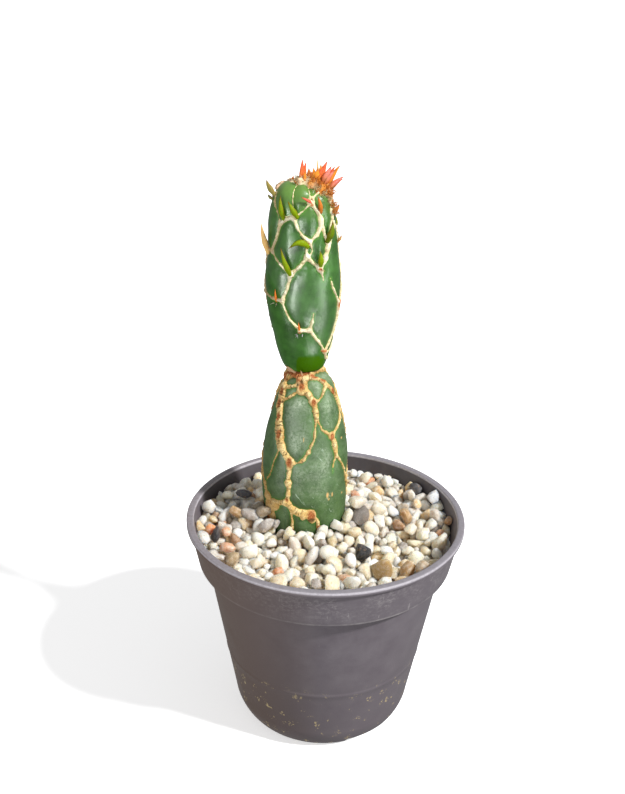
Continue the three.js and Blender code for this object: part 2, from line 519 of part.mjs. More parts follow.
const leaves = union([
  ...LEAVES.map((leaf) => padAwl(upperPad, leaf, LEAF_R)),
  ...SPINES.map((spine) => padAwl(upperPad, spine, SPINE_R)),
]);
const leafRoom = union([
  ...LEAVES.map((leaf) => padAwl(upperPad, leaf, LEAF_R + ROOT_ROOM)),
  ...SPINES.map((spine) => padAwl(upperPad, spine, SPINE_R + ROOT_ROOM)),
]);
const crownRoom = crownSolid(GAP);

const group = new THREE.Group();
group.add(
  namedMesh('pot', potSolid(), materials.pot),
  namedMesh('potting_mix', cavity(0, MIX_TOP_Z).subtract(padSolid(lowerPad, GAP)), materials.mix),
  namedMesh('gravel', gravelSolid(), materials.gravel),
  namedMesh('lower_pad', padSolid(lowerPad), materials.lowerSkin),
  namedMesh('lower_net', mainBody(netSolid(lowerPad, lowerNet)), materials.lowerCork),
  namedMesh('upper_pad', mainBody(padSolid(upperPad).add(leaves.subtract(crownRoom))), materials.upperSkin),
  namedMesh('upper_net', mainBody(netSolid(upperPad, upperNet).subtract(leafRoom).subtract(crownRoom)),
    materials.upperCork),
  namedMesh('crown', mainBody(crownSolid().subtract(padSolid(upperPad, GAP))), materials.crown),
);

export default group;
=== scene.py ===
import math
from functools import partial, reduce
from itertools import product

import bpy
import numpy as np
from mathutils import Matrix


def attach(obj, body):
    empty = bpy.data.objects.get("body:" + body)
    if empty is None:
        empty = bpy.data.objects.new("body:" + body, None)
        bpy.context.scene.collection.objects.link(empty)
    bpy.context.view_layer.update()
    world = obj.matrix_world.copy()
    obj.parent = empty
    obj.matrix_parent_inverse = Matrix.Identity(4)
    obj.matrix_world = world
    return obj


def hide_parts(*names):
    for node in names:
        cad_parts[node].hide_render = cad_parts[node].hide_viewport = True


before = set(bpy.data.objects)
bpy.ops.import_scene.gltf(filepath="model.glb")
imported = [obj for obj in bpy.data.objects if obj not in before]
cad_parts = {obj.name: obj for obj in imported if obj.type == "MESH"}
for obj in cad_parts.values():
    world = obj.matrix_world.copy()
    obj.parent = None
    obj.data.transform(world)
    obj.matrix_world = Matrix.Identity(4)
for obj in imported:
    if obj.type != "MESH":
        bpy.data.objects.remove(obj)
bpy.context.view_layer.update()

MM = 0.001
PER_MM = 1 / MM  # a pattern's scale is this over its size in mm

# Camera, as fitted to the outline of the pot in the photograph
CAMERA_AT = (0.0, -329.2, 280.5)
CAMERA_PITCH = 24.0  # degrees down
CAMERA_YAW = -1.01
CAMERA_ROLL = 1.10
FOCAL_PX = 1000.0
PHOTO_HEIGHT_PX = 794

# Pot
RIM_R = 52.5
POT_H = 86.0
WALL = 1.4
COLLAR_BOTTOM_Z = 69.7
COLLAR_BOTTOM_R = 48.4
COLLAR_TOP_R = 51.3
LIP_Z = 84.0
BODY_TOP_R = 45.0
BODY_TOP_Z = 68.2
BODY_LOW_R = 34.8
BODY_LOW_Z = 10.5
FOOT_R = 28.6
FOOT_WIDTH = 4.0
FOOT_H = 2.4
FLOOR_TOP_Z = 4.0
LIP_ROUND = 0.5
FLOOR_CORNER = 3.2
CORNER_STEPS = 14
CORNER_POWER = 2 / 1.5
NOTCH_COUNT = 3
NOTCH_FIRST_DEG = 33.0
NOTCH_WIDTH_DEG = 29.0
NOTCH_HEIGHT = 1.8
NOTCH_SLOPE = 0.45
MOULD_LINE_Z = 31.2
DRAIN_R = 1.8
DRAIN_RING = 16.0
DRAIN_COUNT = 6
DRAIN_SIDES = 24
POT_SEGMENTS = 256
POT_CREASE_DEG = 32

# Gravel
MIX_TOP_Z = 69.2
STONE_COUNT = 1300
STONE_SEED = 11
STONE_R = 2.02
STONE_R_SPREAD = 0.2
STONE_R_RANGE = (1.3, 2.9)
POUR_R = 46
POUR_Z = (70, 84)
LANDMARK_Z = 86
SETTLE_STEPS = 90
SINK = 0.12  # mm by which a stone sinks in one step
PUSH = 0.38  # share of an overlap by which each of two stones moves in one step
SQUEEZE = 0.93  # stones are not balls, so they pack a little closer than balls of their mean radius
STONE_ROOM = 0.15  # mm between a stone's corners and the pot or the pad
BED_ROOM = 0.4  # mm between the balls and the pot or the mix
BED_WALL_SLOPE = 0.2  # mm by which the wall stands further out, for each mm up
BED_MIDDLE_X = -7.9  # the lower pad's middle where it leaves the gravel
PAD_IN_BED = ((70, 79, 88), (11.4, 14.6, 15.9))  # heights and the lower pad's half widths there
GRAVEL_TILT = 0.03  # rise towards the back, mm per mm
LEFT_TILT = 0.06  # rise towards the left beside the plant, mm per mm
LEFT_X = -10  # where that rise starts
RIM_TILT = 0.13  # rise towards the rim at the back and the sides, mm per mm
RIM_TILT_R = 24  # where that rise starts, from the pot's axis
RIM_SPREAD = 0.03  # share by which the outermost stones move out to the wall
MOUND = 3.4  # mm by which the gravel is heaped at the plant
STONE_PLANES = 13
STONE_POWER = 11  # the higher, the sharper the edges between a stone's planes
STONE_STRETCH = (1.14, 1.0, 0.84)
STONE_CREASE_DEG = 40
STONE_COLOURS = [
    ("#f1e8d8", 24), ("#e6d9c2", 23), ("#d8c7a8", 14), ("#cdc5b9", 13), ("#b5aea4", 8), ("#cdac7c", 8),
    ("#95908b", 4), ("#bf8458", 1.8), ("#987654", 2.5), ("#6b6661", 0.8),
]
STONE_WARMTH = (1.03, 1.0, 0.97)
# Stones that catch the eye: (x, y, radius, colour)
LANDMARKS = [
    (13.8, -14.8, 2.6, "#17181b"), (9.4, -21.3, 2.9, "#f4f0e8"), (-35.2, -19.4, 2.6, "#dba27c"),
    (-36.8, -8.6, 1.9, "#e0a882"), (-39.6, -12.4, 2.2, "#3f3e42"), (-32.8, 1.0, 2.3, "#ab8858"),
    (-32.3, 14.1, 2.7, "#3c3d43"), (12.4, 21.5, 2.2, "#c99270"), (36, 29.2, 2.4, "#4e4e51"),
    (39.6, -22.4, 2.4, "#4d4d55"), (19.5, -27.2, 2.8, "#b59763"), (-32.5, -26.5, 2.3, "#a08a66"),
    (5.5, -15.2, 2.0, "#a98a58"), (2.6, -8.8, 2.2, "#cdb88e"), (-4.6, -19.4, 2.6, "#d9d3ca"),
    (7.4, -29.5, 2.2, "#d0a07c"), (31.6, 8.6, 2.2, "#ad8b5c"), (-23.5, -1.5, 2.6, "#9d8c72"),
    (-25.5, 3, 2.4, "#857864"), (20.6, 11, 3.0, "#e4dac6"), (41.5, 19.5, 2.7, "#d3d4d6"),
    (-13.4, -9.8, 2.8, "#e6d6ae"), (34.5, -27, 2.4, "#b9a386"), (29.5, -25.5, 2.6, "#bf9c6c"),
    (-1.6, -5.4, 2.1, "#e0d6c4"), (4.2, -3.4, 2.3, "#efe6d6"), (8.6, 1.6, 2.3, "#e4d8c0"),
    (-9, -9.4, 2.2, "#e8dcc8"), (12, 6.2, 2.4, "#d8ccb8"), (-46, -0.5, 2.3, "#f4ecdc"),
    (-43.6, 6.4, 2.4, "#e8e0d0"), (-41.5, -8, 2.2, "#d8894c"), (-44, -14, 2.2, "#eee8dc"),
    (-38.5, 2.4, 2.4, "#e0ddd4"), (-27.5, -19.5, 2.8, "#f4ecd8"), (-34, 22, 2.2, "#c8c0b8"),
]

# Pads. A profile is (half width, height) from pole to pole, axis is (height, x) along the pad's middle.
PLANT_Y = 6.0
DEPTH = 0.8
LOWER_PAD = {
    "profile": [(0, 64), (7.5, 66), (11.8, 71), (14.4, 79), (15.7, 88), (16.2, 100), (15.5, 113),
                (13.6, 123.5), (11, 133), (8.6, 138.6), (5.4, 141.4), (0, 142.2)],
    "axis": [(64, -7.6), (100, -8.4), (142, -7.7)],
}
UPPER_PAD = {
    "profile": [(0, 142.5), (5.2, 143), (7.4, 145), (9.2, 150), (10.6, 156), (12.2, 163), (13.2, 171),
                (13.3, 178), (12.6, 186), (11.8, 194), (10.9, 202), (8.9, 207.4), (5.2, 209.9), (0, 210.6)],
    "axis": [(142, -9.1), (171, -9.7), (211, -10.9)],
}

# Net. A knot is (turn in degrees from the front, height). A strand is half width, then knots or points. Slim
# is what the skirt of the cork adds to a strand on each side.
UPPER_NET = {
    "slim": 0.2,
    "knots": {
        "a1": (-23, 209), "a2": (-68, 204), "a3": (-41, 197), "a4": (-30, 199), "a5": (-13, 200),
        "a6": (19, 205), "a7": (28, 208.6), "a8": (36, 199), "a9": (26, 194), "a10": (12, 191.5),
        "a11": (8, 186.8), "a12": (-60, 187.5), "a13": (-18, 180.8), "a14": (28, 183), "a15": (48, 189.5),
        "a16": (68, 197), "a17": (-33, 171), "a18": (-4, 160.3), "a19": (11, 160.5), "a20": (52, 151),
        "a21": (72, 168.3), "a22": (-88, 172), "a23": (-94, 183), "a24": (71, 201),
        "b1": (76, 206), "b2": (98, 194), "b3": (94, 182), "b4": (118, 186), "b5": (112, 172),
        "b6": (100, 157), "b7": (124, 200), "b8": (146, 193), "b9": (144, 178), "b10": (136, 163),
        "b11": (168, 184), "b12": (166, 200), "b13": (168, 168), "b14": (158, 152), "b15": (190, 192),
        "b16": (194, 176), "b17": (192, 158), "b18": (206, 203), "b19": (218, 186), "b20": (218, 168),
        "b21": (240, 195), "b22": (242, 178), "b23": (238, 160), "b24": (262, 205), "b25": (258, 192),
        "b26": (264, 158),
    },
    "strands": [
        (0.34, (-21.5, 210.4), (-19.5, 208.6), (-17, 204.7), "a5"), (0.45, "a2", (-50, 200.8), "a3"),
        (0.85, "a3", "a4", "a5"), (0.5, "a5", (2, 202), "a6"), (0.34, (27, 210.4), (20, 208.8), "a6"),
        (0.6, "a6", (27, 206.6), (52, 208), "b1"), (0.9, "a6", (30, 202), "a8", (32, 196), "a9"),
        (0.8, "a9", "a10"), (0.75, "a5", (-6, 196), "a10"), (0.8, "a3", (-49, 192), "a12"),
        (0.65, "a12", (-40, 184), "a13"), (0.7, "a10", (7.5, 189.2), "a11"),
        (0.5, "a10", (17, 189.4), (14, 187.6), "a11"), (0.8, "a11", (-4, 183.5), "a13"),
        (0.8, "a11", (19, 184.6), "a14"), (0.85, "a14", (31, 181.4), (32.5, 178.6)),
        (1.2, "a14", (40, 186), "a15", (54, 192), "a16"),
        (0.75, "a15", (43, 194), "a8"), (0.85, "a13", (-24, 175.5), "a17"),
        (0.75, "a17", (-52, 171), "a22"), (0.65, "a17", (-23, 165), "a18"), (0.8, "a18", "a19"),
        (0.85, "a19", (14, 162.6), (17, 166.8)), (0.75, "a19", (29, 156), "a20"),
        (0.7, "a20", (69, 158), "a21"), (0.6, "a21", (53, 175), (46, 179)),
        (0.6, "a20", (70, 147.6), (88, 148)),
        (0.8, "a12", (-80, 187), "a23", (-96, 177), "a22"), (0.7, "a16", "a24", "b1"), (0.7, "a16", "b2"),
        (0.7, "b2", "b3"), (0.6, "b3", (84, 175), "a21"), (0.6, "b3", "b5"), (0.7, "b2", (110, 189), "b4"),
        (0.7, "b4", "b5"), (0.7, "b5", "b6"), (0.6, "a20", (78, 151), "b6"), (0.7, "b2", "b7"),
        (0.7, "b7", "b8"), (0.6, "b4", "b8"), (0.7, "b4", "b9"), (0.6, "b5", (120, 166), "b10"),
        (0.7, "b9", "b10"), (0.7, "b8", "b11"), (0.7, "b9", "b11"), (0.6, "b7", "b12"),
        (0.6, "b12", "b15"), (0.7, "b11", "b15"), (0.6, "b10", "b14"), (0.7, "b6", (128, 151), "b14"),
        (0.7, "b11", "b16"), (0.7, "b9", "b13"), (0.6, "b13", "b16"), (0.7, "b13", "b14"),
        (0.6, "b14", "b17"), (0.7, "b16", "b20"), (0.6, "b17", "b20"), (0.7, "b15", "b19"),
        (0.7, "b19", "b16"), (0.6, "b12", "b18"), (0.6, "b18", "b21"), (0.7, "b15", (205, 197), "b18"),
        (0.7, "b19", "b21"), (0.7, "b19", "b22"), (0.7, "b20", "b22"), (0.6, "b20", "b23"),
        (0.7, "b21", "b25"), (0.6, "b21", "b24"), (0.45, "b24", (284, 207), "a2"), (0.7, "b25", "a23"),
        (0.7, "b22", "a22"), (0.6, "b23", "b26"), (0.6, "b26", (266, 166), "a22"), (0.6, "b25", "b22"),
    ],
    "patches": {
        "a4": 0.9, "a5": 1.1, "a6": 1.5, "a8": 1.0, "a10": 1.0, "a11": 0.9, "a13": 1.1, "a14": 1.1,
        "a18": 0.8, "a21": 0.9, "a24": 1.2, "b9": 1.0, "b22": 1.0,
    },
}
LOWER_NET = {
    "slim": 0.15,
    "knots": {
        "c1": (-14, 138.8), "c2": (-64, 137), "c3": (-52, 127.5), "c4": (-36, 115.5), "c5": (-20, 110.2),
        "c6": (13, 133), "c7": (17, 128.4), "c8": (42, 119.8), "c9": (79, 130.5), "c10": (49, 111.5),
        "c11": (-23, 93), "c12": (10, 88.5), "c13": (-46, 91.5), "c14": (-68, 97.6), "c15": (78, 99),
        "c16": (-92, 107), "c17": (50, 138.6), "c18": (-102, 127), "c19": (-57, 89), "c20": (16, 140.9),
        "c21": (-21, 101.8), "c22": (-46, 90), "c23": (-54, 85), "c24": (-60, 93), "c25": (-12, 137),
        "c26": (-1, 87), "c27": (11.5, 86), "c28": (5, 114.3),
        "d1": (92, 124), "d2": (104, 110), "d3": (98, 90), "d4": (110, 137), "d5": (130, 121),
        "d6": (128, 100), "d7": (152, 134), "d8": (156, 112), "d9": (150, 88), "d10": (182, 124),
        "d11": (184, 100), "d12": (206, 136), "d13": (212, 112), "d14": (210, 90), "d15": (236, 122),
        "d16": (240, 98), "d17": (244, 137), "d18": (258, 88),
    },
    "strands": [
        (1.8, "c2", (-58, 131.5), "c3", (-44, 121.2), "c4"), (1.3, "c4", "c5"),
        (0.75, "c1", (-25, 139), (-33, 138.3), (-45.5, 137.4), (-57, 136.8), "c2"),
        (0.7, "c1", (-30, 134.8), (-54, 131.6), "c3"),
        (1.3, "c1", (0, 136.5), "c6", "c7"),
        (0.65, "c7", (13.5, 120), "c28"), (0.75, "c28", (-6, 110.4), "c5"), (0.65, "c7", (26, 123), "c8"),
        (0.6, "c6", (24, 133.4), (38, 136), "c17"), (0.7, "c9", (72, 125.4), "c8"),
        (0.9, "c20", (36, 140.4), "c17"), (0.8, "c17", (66, 135.8), "c9"), (0.9, "c8", (46, 115), "c10"),
        (0.5, "c8", (51, 116), "c10"),
        (0.5, "c10", (43, 108.5), (41, 105)), (0.6, "c10", (65, 106), "c15"),
        (1.1, "c5", (-21, 104), (-20, 98.6), "c11"), (1.6, "c11", (-8, 89.5), "c12"),
        (0.65, "c12", (20, 85), (24, 75)), (0.7, "c11", (-17, 87), (-20, 75)),
        (0.42, "c4", (-47, 108.2), (-54, 102.5), "c14"), (0.8, "c14", (-82, 102), "c16"),
        (0.9, "c14", "c19"), (1.6, "c19", "c13"), (1.3, "c13", "c11"), (2.0, "c19", (-63, 84), (-64, 75)),
        (0.7, "c16", (-106, 118), "c18"), (0.9, "c18", (-92, 134.5), (-76, 137), "c2"), (0.6, "c18", "d17"),
        (0.8, "c9", (92, 135), "d4"), (0.6, "d4", (112, 141)), (0.6, "d7", (150, 140.6)),
        (0.6, "d12", (208, 140.6)), (0.6, "d17", (244, 140.8)),
        (0.7, "c9", (84, 129), "d1"), (0.7, "d1", "d2"), (0.6, "d2", (88, 104), "c15"), (0.6, "c15", "d3"),
        (0.7, "d1", (110, 130), "d5"), (0.7, "d4", "d5"), (0.6, "d2", (118, 104), "d6"),
        (0.6, "d5", "d8"), (0.7, "d6", "d3"), (0.8, "d3", (100, 84), (101, 75)), (0.7, "d6", "d8"),
        (0.7, "d6", "d9"), (0.9, "d4", (130, 138.6), "d7"), (0.7, "d7", (166, 129), "d10"),
        (0.6, "d8", (168, 117), "d10"), (0.7, "d8", "d11"), (0.7, "d9", (166, 94), "d11"),
        (0.8, "d9", (150, 75)), (0.9, "d7", (180, 138), "d12"), (0.7, "d10", (194, 130), "d12"),
        (0.7, "d10", (198, 116), "d13"), (0.6, "d11", "d13"), (0.7, "d11", "d14"), (0.9, "d14", (210, 75)),
        (0.7, "d12", (224, 130), "d15"), (0.7, "d13", "d15"), (0.7, "d13", (226, 104), "d16"),
        (0.6, "d14", "d16"), (0.7, "d15", (254, 114), "c16"), (0.7, "d16", (250, 94), "d18"),
        (0.8, "d18", (258, 75)), (0.6, "d16", (256, 103), "c16"), (1.0, "d12", "d17", (270, 136), "c2"),
        (0.6, "d17", "d15"),
    ],
    "patches": {
        "c1": 1.9, "c4": 1.5, "c5": 1.8, "c6": 1.5, "c8": 1.4, "c11": 1.6, "c12": 2.0, "c19": 2.8,
        "c21": 1.3, "c22": 2.2, "c23": 2.2, "c24": 2.0, "c25": 1.7, "c26": 1.1,
        "c27": 1.4, "d5": 1.6, "d8": 1.6, "d13": 1.6,
    },
    # Edge of the cork that covers the pad's whole top, as (turn, height)
    "cover": [(-120, 140.2), (-90, 139.2), (-62, 139.2), (-54, 140.3), (-46, 140.8), (-38, 141), (-33, 140.2),
              (-24, 139.6), (0, 139.9), (8, 140.5), (20, 141.5),
              (45, 141.8), (80, 141.7), (110, 141.0), (150, 140.2), (200, 140.0)],
}
# Rusty areole cushions: (turn, height, half width, half height)
LOWER_AREOLES = [
    (-13, 138.2, 0.9, 1.3), (13.5, 132.8, 0.75, 1.4), (-20.5, 110.2, 1.1, 1.8), (42, 119.6, 0.7, 1.2),
    (10.5, 88.4, 1.4, 1.8), (-61, 135, 0.9, 1.6), (-57, 131, 0.9, 1.7), (-50, 126.3, 0.7, 1.4),
    (-42, 120, 0.8, 1.8), (48, 139.9, 1.2, 0.8), (66, 135.4, 0.8, 1.5), (-19, 80.5, 0.9, 1.6),
    (22, 82, 0.9, 1.6), (20, 141, 1.4, 0.6), (-22, 94.6, 0.5, 0.8), (-61, 84, 0.8, 1.2),
    (130, 121, 1.1, 1.7), (156, 112, 1.1, 1.7), (212, 112, 1.1, 1.7), (184, 100, 1.0, 1.5),
    (240, 98, 1.0, 1.5), (110, 137, 1.2, 1.2), (206, 136, 1.2, 1.2), (-102, 127, 0.9, 1.5),
    (-50, 141, 2.2, 0.9), (-72, 139.4, 1.4, 1.0),
]
UPPER_AREOLES = [
    (71, 168.6, 0.7, 1.7), (46, 151.6, 1.5, 0.45), (11, 191.3, 0.4, 0.4), (112, 172, 0.8, 0.9),
    (144, 178, 0.8, 0.9), (218, 168, 0.8, 0.9), (28, 182.6, 0.7, 0.4), (-6, 159.8, 0.6, 0.5),
    (20, 204, 0.5, 0.4),
]
# Dry tan flecks on the older skin
FLECKS = [
    (33.2, 96.4, 0.4, 1.0), (40.5, 96.2, 0.25, 0.7), (61, 95.2, 0.3, 0.4), (62.5, 117.7, 0.3, 0.4),
    (-2.2, 119.4, 0.12, 0.9), (35, 94.6, 0.3, 0.3), (140, 104, 0.3, 0.8), (228, 106, 0.3, 0.6),
    (172, 92, 0.4, 0.4),
]
# Upper edge of the fresh growth at the younger pad's foot, as (turn, height)
FRESH_EDGE = [(-60, 141), (-22, 143), (-16, 147.8), (-8, 149.9), (17, 150.3), (36, 149.6), (54, 148.2),
              (70, 145.4), (84, 143), (120, 141)]

# Leaves and spines of the upper pad: (turn, height, length, side lean, lift off the skin), leans in degrees
LEAF_R = 1.05
LEAF_BOW = 0.12  # mm that a leaf's middle stands off the straight line, for each mm of its length
ARCHED_LEAF = 2
ARCH = 1.6  # mm by which that leaf arches upwards as well
STRAW_LEAF = 6
STRAW_BOW = 0.2  # share of the usual bow that the dry leaf keeps
SPINE_BOW = 0.05
SPINE_R = 0.5
HAIR_R = 0.1
HAIR_BEND = 0.22
HAIRS_PER_AREA = 26  # for each square mm of a cushion's middle section, over pi
CROWN_SEED = 5
LEAVES = [
    (-32, 199.4, 7.5, -8, 6), (-8, 200.4, 5.8, -29, 11), (8, 190.8, 6.2, -98, 4), (-18, 180.6, 9.8, -18, 8),
    (47, 192, 6.8, 12, 13), (29, 183.8, 5.4, -3, 10), (-74, 186.8, 10.2, 0, 17), (-78, 206.2, 5.2, -38, 44),
    (36, 201.8, 5.4, -8, 4), (70, 200.8, 3.8, -5, 46), (19, 204.8, 4.2, -58, 10), (80, 190.4, 2.6, 6, 34),
    (112, 193.6, 6, 14, 3), (122, 186, 7.4, -8, 6), (146, 193.6, 7, 14, 14), (168, 184.6, 8.2, -8, 10),
    (190, 192.6, 6.6, 20, 14), (166, 200.6, 5.6, -16, 14), (218, 186.6, 8, 6, 12), (240, 195.6, 7.2, -14, 14),
    (206, 203.4, 5.2, 10, 18), (124, 200.6, 5.6, 12, 16), (194, 176.6, 7, -18, 12), (144, 178.6, 7.6, 12, 12),
    (-80, 204.4, 2.2, -60, 40),
]
LIME = "#809c00"
OLIVE = "#667e0a"
DRY = "#c4783a"
# Widths and colours of the leaves that aren't as most are, by their place in the list
LEAF_WIDTHS = {2: 1.15, 4: 1.25, 6: 1.25, 7: 1.15, 8: 0.8, 10: 0.5, 11: 0.7, 24: 0.6}
# Leaf 6, the dry straw leaf, is brighter than its own pale straw: partly its own colour and partly painted
# light standing in for sun shining through it.
LEAF_COLOURS = {4: OLIVE, 6: "#ffd084", 7: "#a39a52", 8: "#cc7a2c", 9: "#dc8a48", 10: "#ef6f5a",
                11: "#d0a468", 24: "#8c8a4a"}
SPINE_COLOUR = "#f08a38"
SPINES = [
    (-44, 170.6, 4.7, 8, 10), (-6, 160.6, 3.6, -2, 12), (112, 172.6, 4.6, 10, 14), (218, 168.6, 4.8, 8, 12),
]

# Crown: cushions of wool (centre, radii, lean to the right) and young leaves (root, tip, half width, colour)
CROWN_CUSHIONS = [
    ((-6, 6, 208.4), (5.7, 4.8, 3.4), 15),
    ((-10.8, 6, 210), (2.6, 3.2, 1.7), 0),
    ((-2, 6, 204.6), (1.6, 3.2, 3.8), 12),
    ((-17.8, 8, 208.4), (2.1, 3.2, 0.7), -30), ((-14.6, 8, 209.9), (2.2, 3, 0.6), -12),
]
CORAL = "#ff7048"
ORANGE = "#ffa33a"
SALMON = "#ff958a"
STRAW = "#ecc78a"
CROWN_LEAVES = [
    ((-10.9, 5, 210.4), (-10.7, 4.6, 217.8), 0.95, CORAL),
    ((-10.5, 5.3, 210.6), (-9.5, 5.6, 216.8), 0.85, CORAL),
    ((-8.9, 6.5, 210.6), (-8.5, 6.8, 214.6), 0.7, DRY), ((-5.5, 7.4, 211), (-5.9, 8, 217.6), 0.45, STRAW),
    ((-6.2, 4.2, 210.2), (-5.5, 3.8, 215), 1.3, ORANGE), ((-5, 5, 210.4), (-2.5, 5, 217.3), 1.1, CORAL),
    ((-3.8, 4, 209.8), (-1, 3.6, 216), 1.15, SALMON), ((-2.4, 5.4, 209.2), (1.9, 6, 215.9), 1.0, ORANGE),
    ((-1.6, 4.8, 208.4), (3.2, 4.6, 212.4), 0.95, SALMON), ((-8, 8.8, 210.4), (-8.8, 10.4, 213.8), 0.8, DRY),
    ((-5, 9.4, 209.8), (-4.6, 11.6, 215), 0.9, ORANGE), ((-2.6, 8.8, 209.2), (0, 10.8, 214.2), 0.9, CORAL),
    ((-1.2, 7.4, 207.8), (3, 8.6, 210.8), 0.8, SALMON), ((-7, 3, 209.6), (-6.6, 1.8, 212.6), 0.8, DRY),
    ((-7.6, 5.2, 210.4), (-7.6, 4.6, 213.8), 0.7, DRY), ((-10, 6.8, 210.2), (-9.6, 7.4, 213.6), 0.6, DRY),
    ((-4.4, 5.6, 209.8), (-4.1, 5.2, 215.6), 1.0, ORANGE), ((-3, 6.8, 209.4), (0.2, 7.4, 215.2), 0.9, CORAL),
    ((-6.8, 6.6, 210), (-7, 6.6, 214.8), 0.85, ORANGE), ((-14.2, 7, 209.6), (-13.7, 7, 211.9), 0.5, DRY),
    ((-4.8, 2.6, 208.4), (-4.4, 1.2, 211.4), 0.7, DRY), ((-2.6, 3.4, 207.6), (-1.2, 2, 210.6), 0.6, DRY),
    ((-5.6, 4.4, 210.4), (-3.7, 4.4, 216), 0.8, CORAL), ((-3.2, 3.6, 209.8), (0.2, 3.4, 214.8), 0.75, SALMON),
    ((-2.2, 4.8, 209.2), (0.9, 5, 215), 0.7, ORANGE), ((-1.8, 4.2, 208.4), (2, 4, 211.4), 0.6, SALMON),
    ((-9.9, 4.6, 210.2), (-9.8, 4, 214), 0.6, ORANGE), ((-7.4, 4.4, 210), (-6.4, 3.6, 214.6), 0.7, ORANGE),
]
LEAF_FOOT = "#d8842e"
# Papery scales left at the waist: (root, tip, half width, colour)
PAPER = "#d9b08c"
WAIST_SCALES = [
    ((-12.4, 1.6, 142.8), (-15.9, 0.8, 145.6), 0.6, PAPER),
    ((-13.6, 3, 142.6), (-15.4, 1.8, 144), 0.6, PAPER),
    ((-9.6, 0.4, 142), (-10.2, -1.4, 144.8), 0.35, PAPER),
    ((-4, 10.6, 142.4), (-1.6, 13.6, 144.4), 0.8, PAPER),
]
# Wool and short hairs on the upper pad: (turn, height), hairs, colour, how far they lean up, spread in mm
TUFTS = [
    ((-22, 210.2), 20, "#c98a4c", 0.9, 0.5),
    ((74, 203), 90, "#f4a050", 0.3, 0.8), ((77, 200.2), 50, "#f4a454", 0.2, 0.6),
    ((72, 206.6), 70, "#ee9444", 0.3, 0.8), ((50, 207), 50, "#ffe6b0", 0.3, 0.9),
    ((38, 208.6), 40, "#ffe6b0", 0.4, 0.8),
    ((62, 204.6), 40, "#f4cf98", 0.3, 0.8), ((-11, 159.2), 4, "#ffffff", -2.6, 0.2),
    ((-2, 159.2), 4, "#ffffff", -2.6, 0.2), ((-44, 169.8), 4, "#f4ead0", -0.6, 0.2),
    ((20, 205.6), 14, "#d8a27c", 0.6, 0.4), ((28, 182.4), 8, "#c98a6a", -0.4, 0.3),
    ((-18, 180.2), 8, "#f4ead0", -0.3, 0.4),
]

# The grid of each pad: rings from pole to pole, and columns round it
PAD_ROWS = 262
PAD_COLUMNS = 360
PROFILE_TABLE = np.linspace(0, 1, 4000)  # shares of the way up at which a profile is looked up
STRAND_STEP = 0.25  # mm between the points that stand for a strand
FREE_TAPER = 3  # mm over which the free end of a strand grows thin
END_REACH = 2.4  # mm over which the groove runs out at the free end of a strand
FAR = 6.0  # mm beyond which a strand isn't felt
WEB = 0.3  # mm by which strands that meet fill their corner
STRAND_SHIFT = 37.0  # mm by which one strand's length is counted on from the last, so their cracks differ
CORK_SKIRT = 0.3  # mm that the cork goes on outwards under the skin
CORK_BASE = 0.8  # mm that the cork's underside lies under the groove
CORK_ROUND = 0.4  # mm inwards over which the cork's edge rises
COVER_RISE = 0.9  # mm by which the cork on a pad's top stands higher than the rest
COVER_R = 7.0  # mm from the pad's middle at which cracks of the cork on its top are counted
AWL_SIDES = 10
AWL_RINGS = 14
HAIR_SIDES = 3


def colour(sheet):
    """An sRGB hex value as linear red, green, blue and alpha."""
    parts = [int(sheet[i:i + 2], 16) / 255 for i in (1, 3, 5)]
    return tuple(c / 12.92 if c <= 0.04045 else ((c + 0.055) / 1.055) ** 2.4 for c in parts) + (1.0,)


def spline(points, share):
    """The uniform Catmull-Rom curve through points, with both ends repeated, at shares from 0 to 1. In each
    span the cubic passes both points with half the difference of their neighbours as its slope."""
    points = np.asarray(points, float)
    last = len(points) - 1
    place = np.clip(share, 0, 1) * last
    i = np.minimum(place.astype(int), last - 1)
    w = (place - i)[..., None]
    before, start, end, after = (points[np.clip(i + k, 0, last)] for k in (-1, 0, 1, 2))
    slope0 = (end - before) / 2
    slope1 = (after - start) / 2
    return ((2 * start - 2 * end + slope0 + slope1) * w**3
            + (3 * end - 3 * start - 2 * slope0 - slope1) * w**2 + slope0 * w + start)


def unit(vectors):
    """Vectors of length 1 that point the same way."""
    return vectors / np.maximum(np.linalg.norm(vectors, axis=-1, keepdims=True), 1e-9)


def circle(count):
    """The angles of count points evenly round a circle."""
    return 2 * np.pi * np.arange(count) / count


def lattice(cells, seed):
    """A repeatable random number from -1 to 1 for each whole-numbered cell."""
    mixed = cells.astype(np.int64) * np.array([73856093, 19349663, 83492791])
    h = (mixed[..., 0] ^ mixed[..., 1] ^ mixed[..., 2] ^ (seed * 15485863)) & 0xFFFFFFFF
    h = ((h ^ (h >> 15)) * 2246822519) & 0xFFFFFFFF
    h = ((h ^ (h >> 13)) * 3266489917) & 0xFFFFFFFF
    return ((h ^ (h >> 16)) & 0xFFFF) / 32767.5 - 1


def noise(points, size, seed):
    """Smooth noise from -1 to 1: random values on a cubic lattice of that size in mm, blended between its
    corners with the weight 3f^2 - 2f^3 of the share f of the way along each side."""
    cells = np.asarray(points) / size
    base = np.floor(cells)
    f = cells - base
    f = f * f * (3 - 2 * f)
    total = 0
    for corner in product((0, 1), repeat=3):
        weight = np.prod(np.where(corner, f, 1 - f), axis=-1)
        total = total + weight * lattice(base + corner, seed)
    return total


def rough_noise(points, size, seed, octaves=3):
    """Noise summed over octaves, each half the size and half the height of the last."""
    return sum(noise(points, size / 2**k, seed + k) / 2**k for k in range(octaves))


def fade(low, high, value):
    """0 below low, 1 above high, and 3t^2 - 2t^3 of the share t between."""
    t = np.clip((value - low) / (high - low), 0, 1)
    return t * t * (3 - 2 * t)


def new_object(name, data):
    """An object in the scene, of a mesh, a light or a camera."""
    thing = bpy.data.objects.new(name, data)
    bpy.context.scene.collection.objects.link(thing)
    return thing


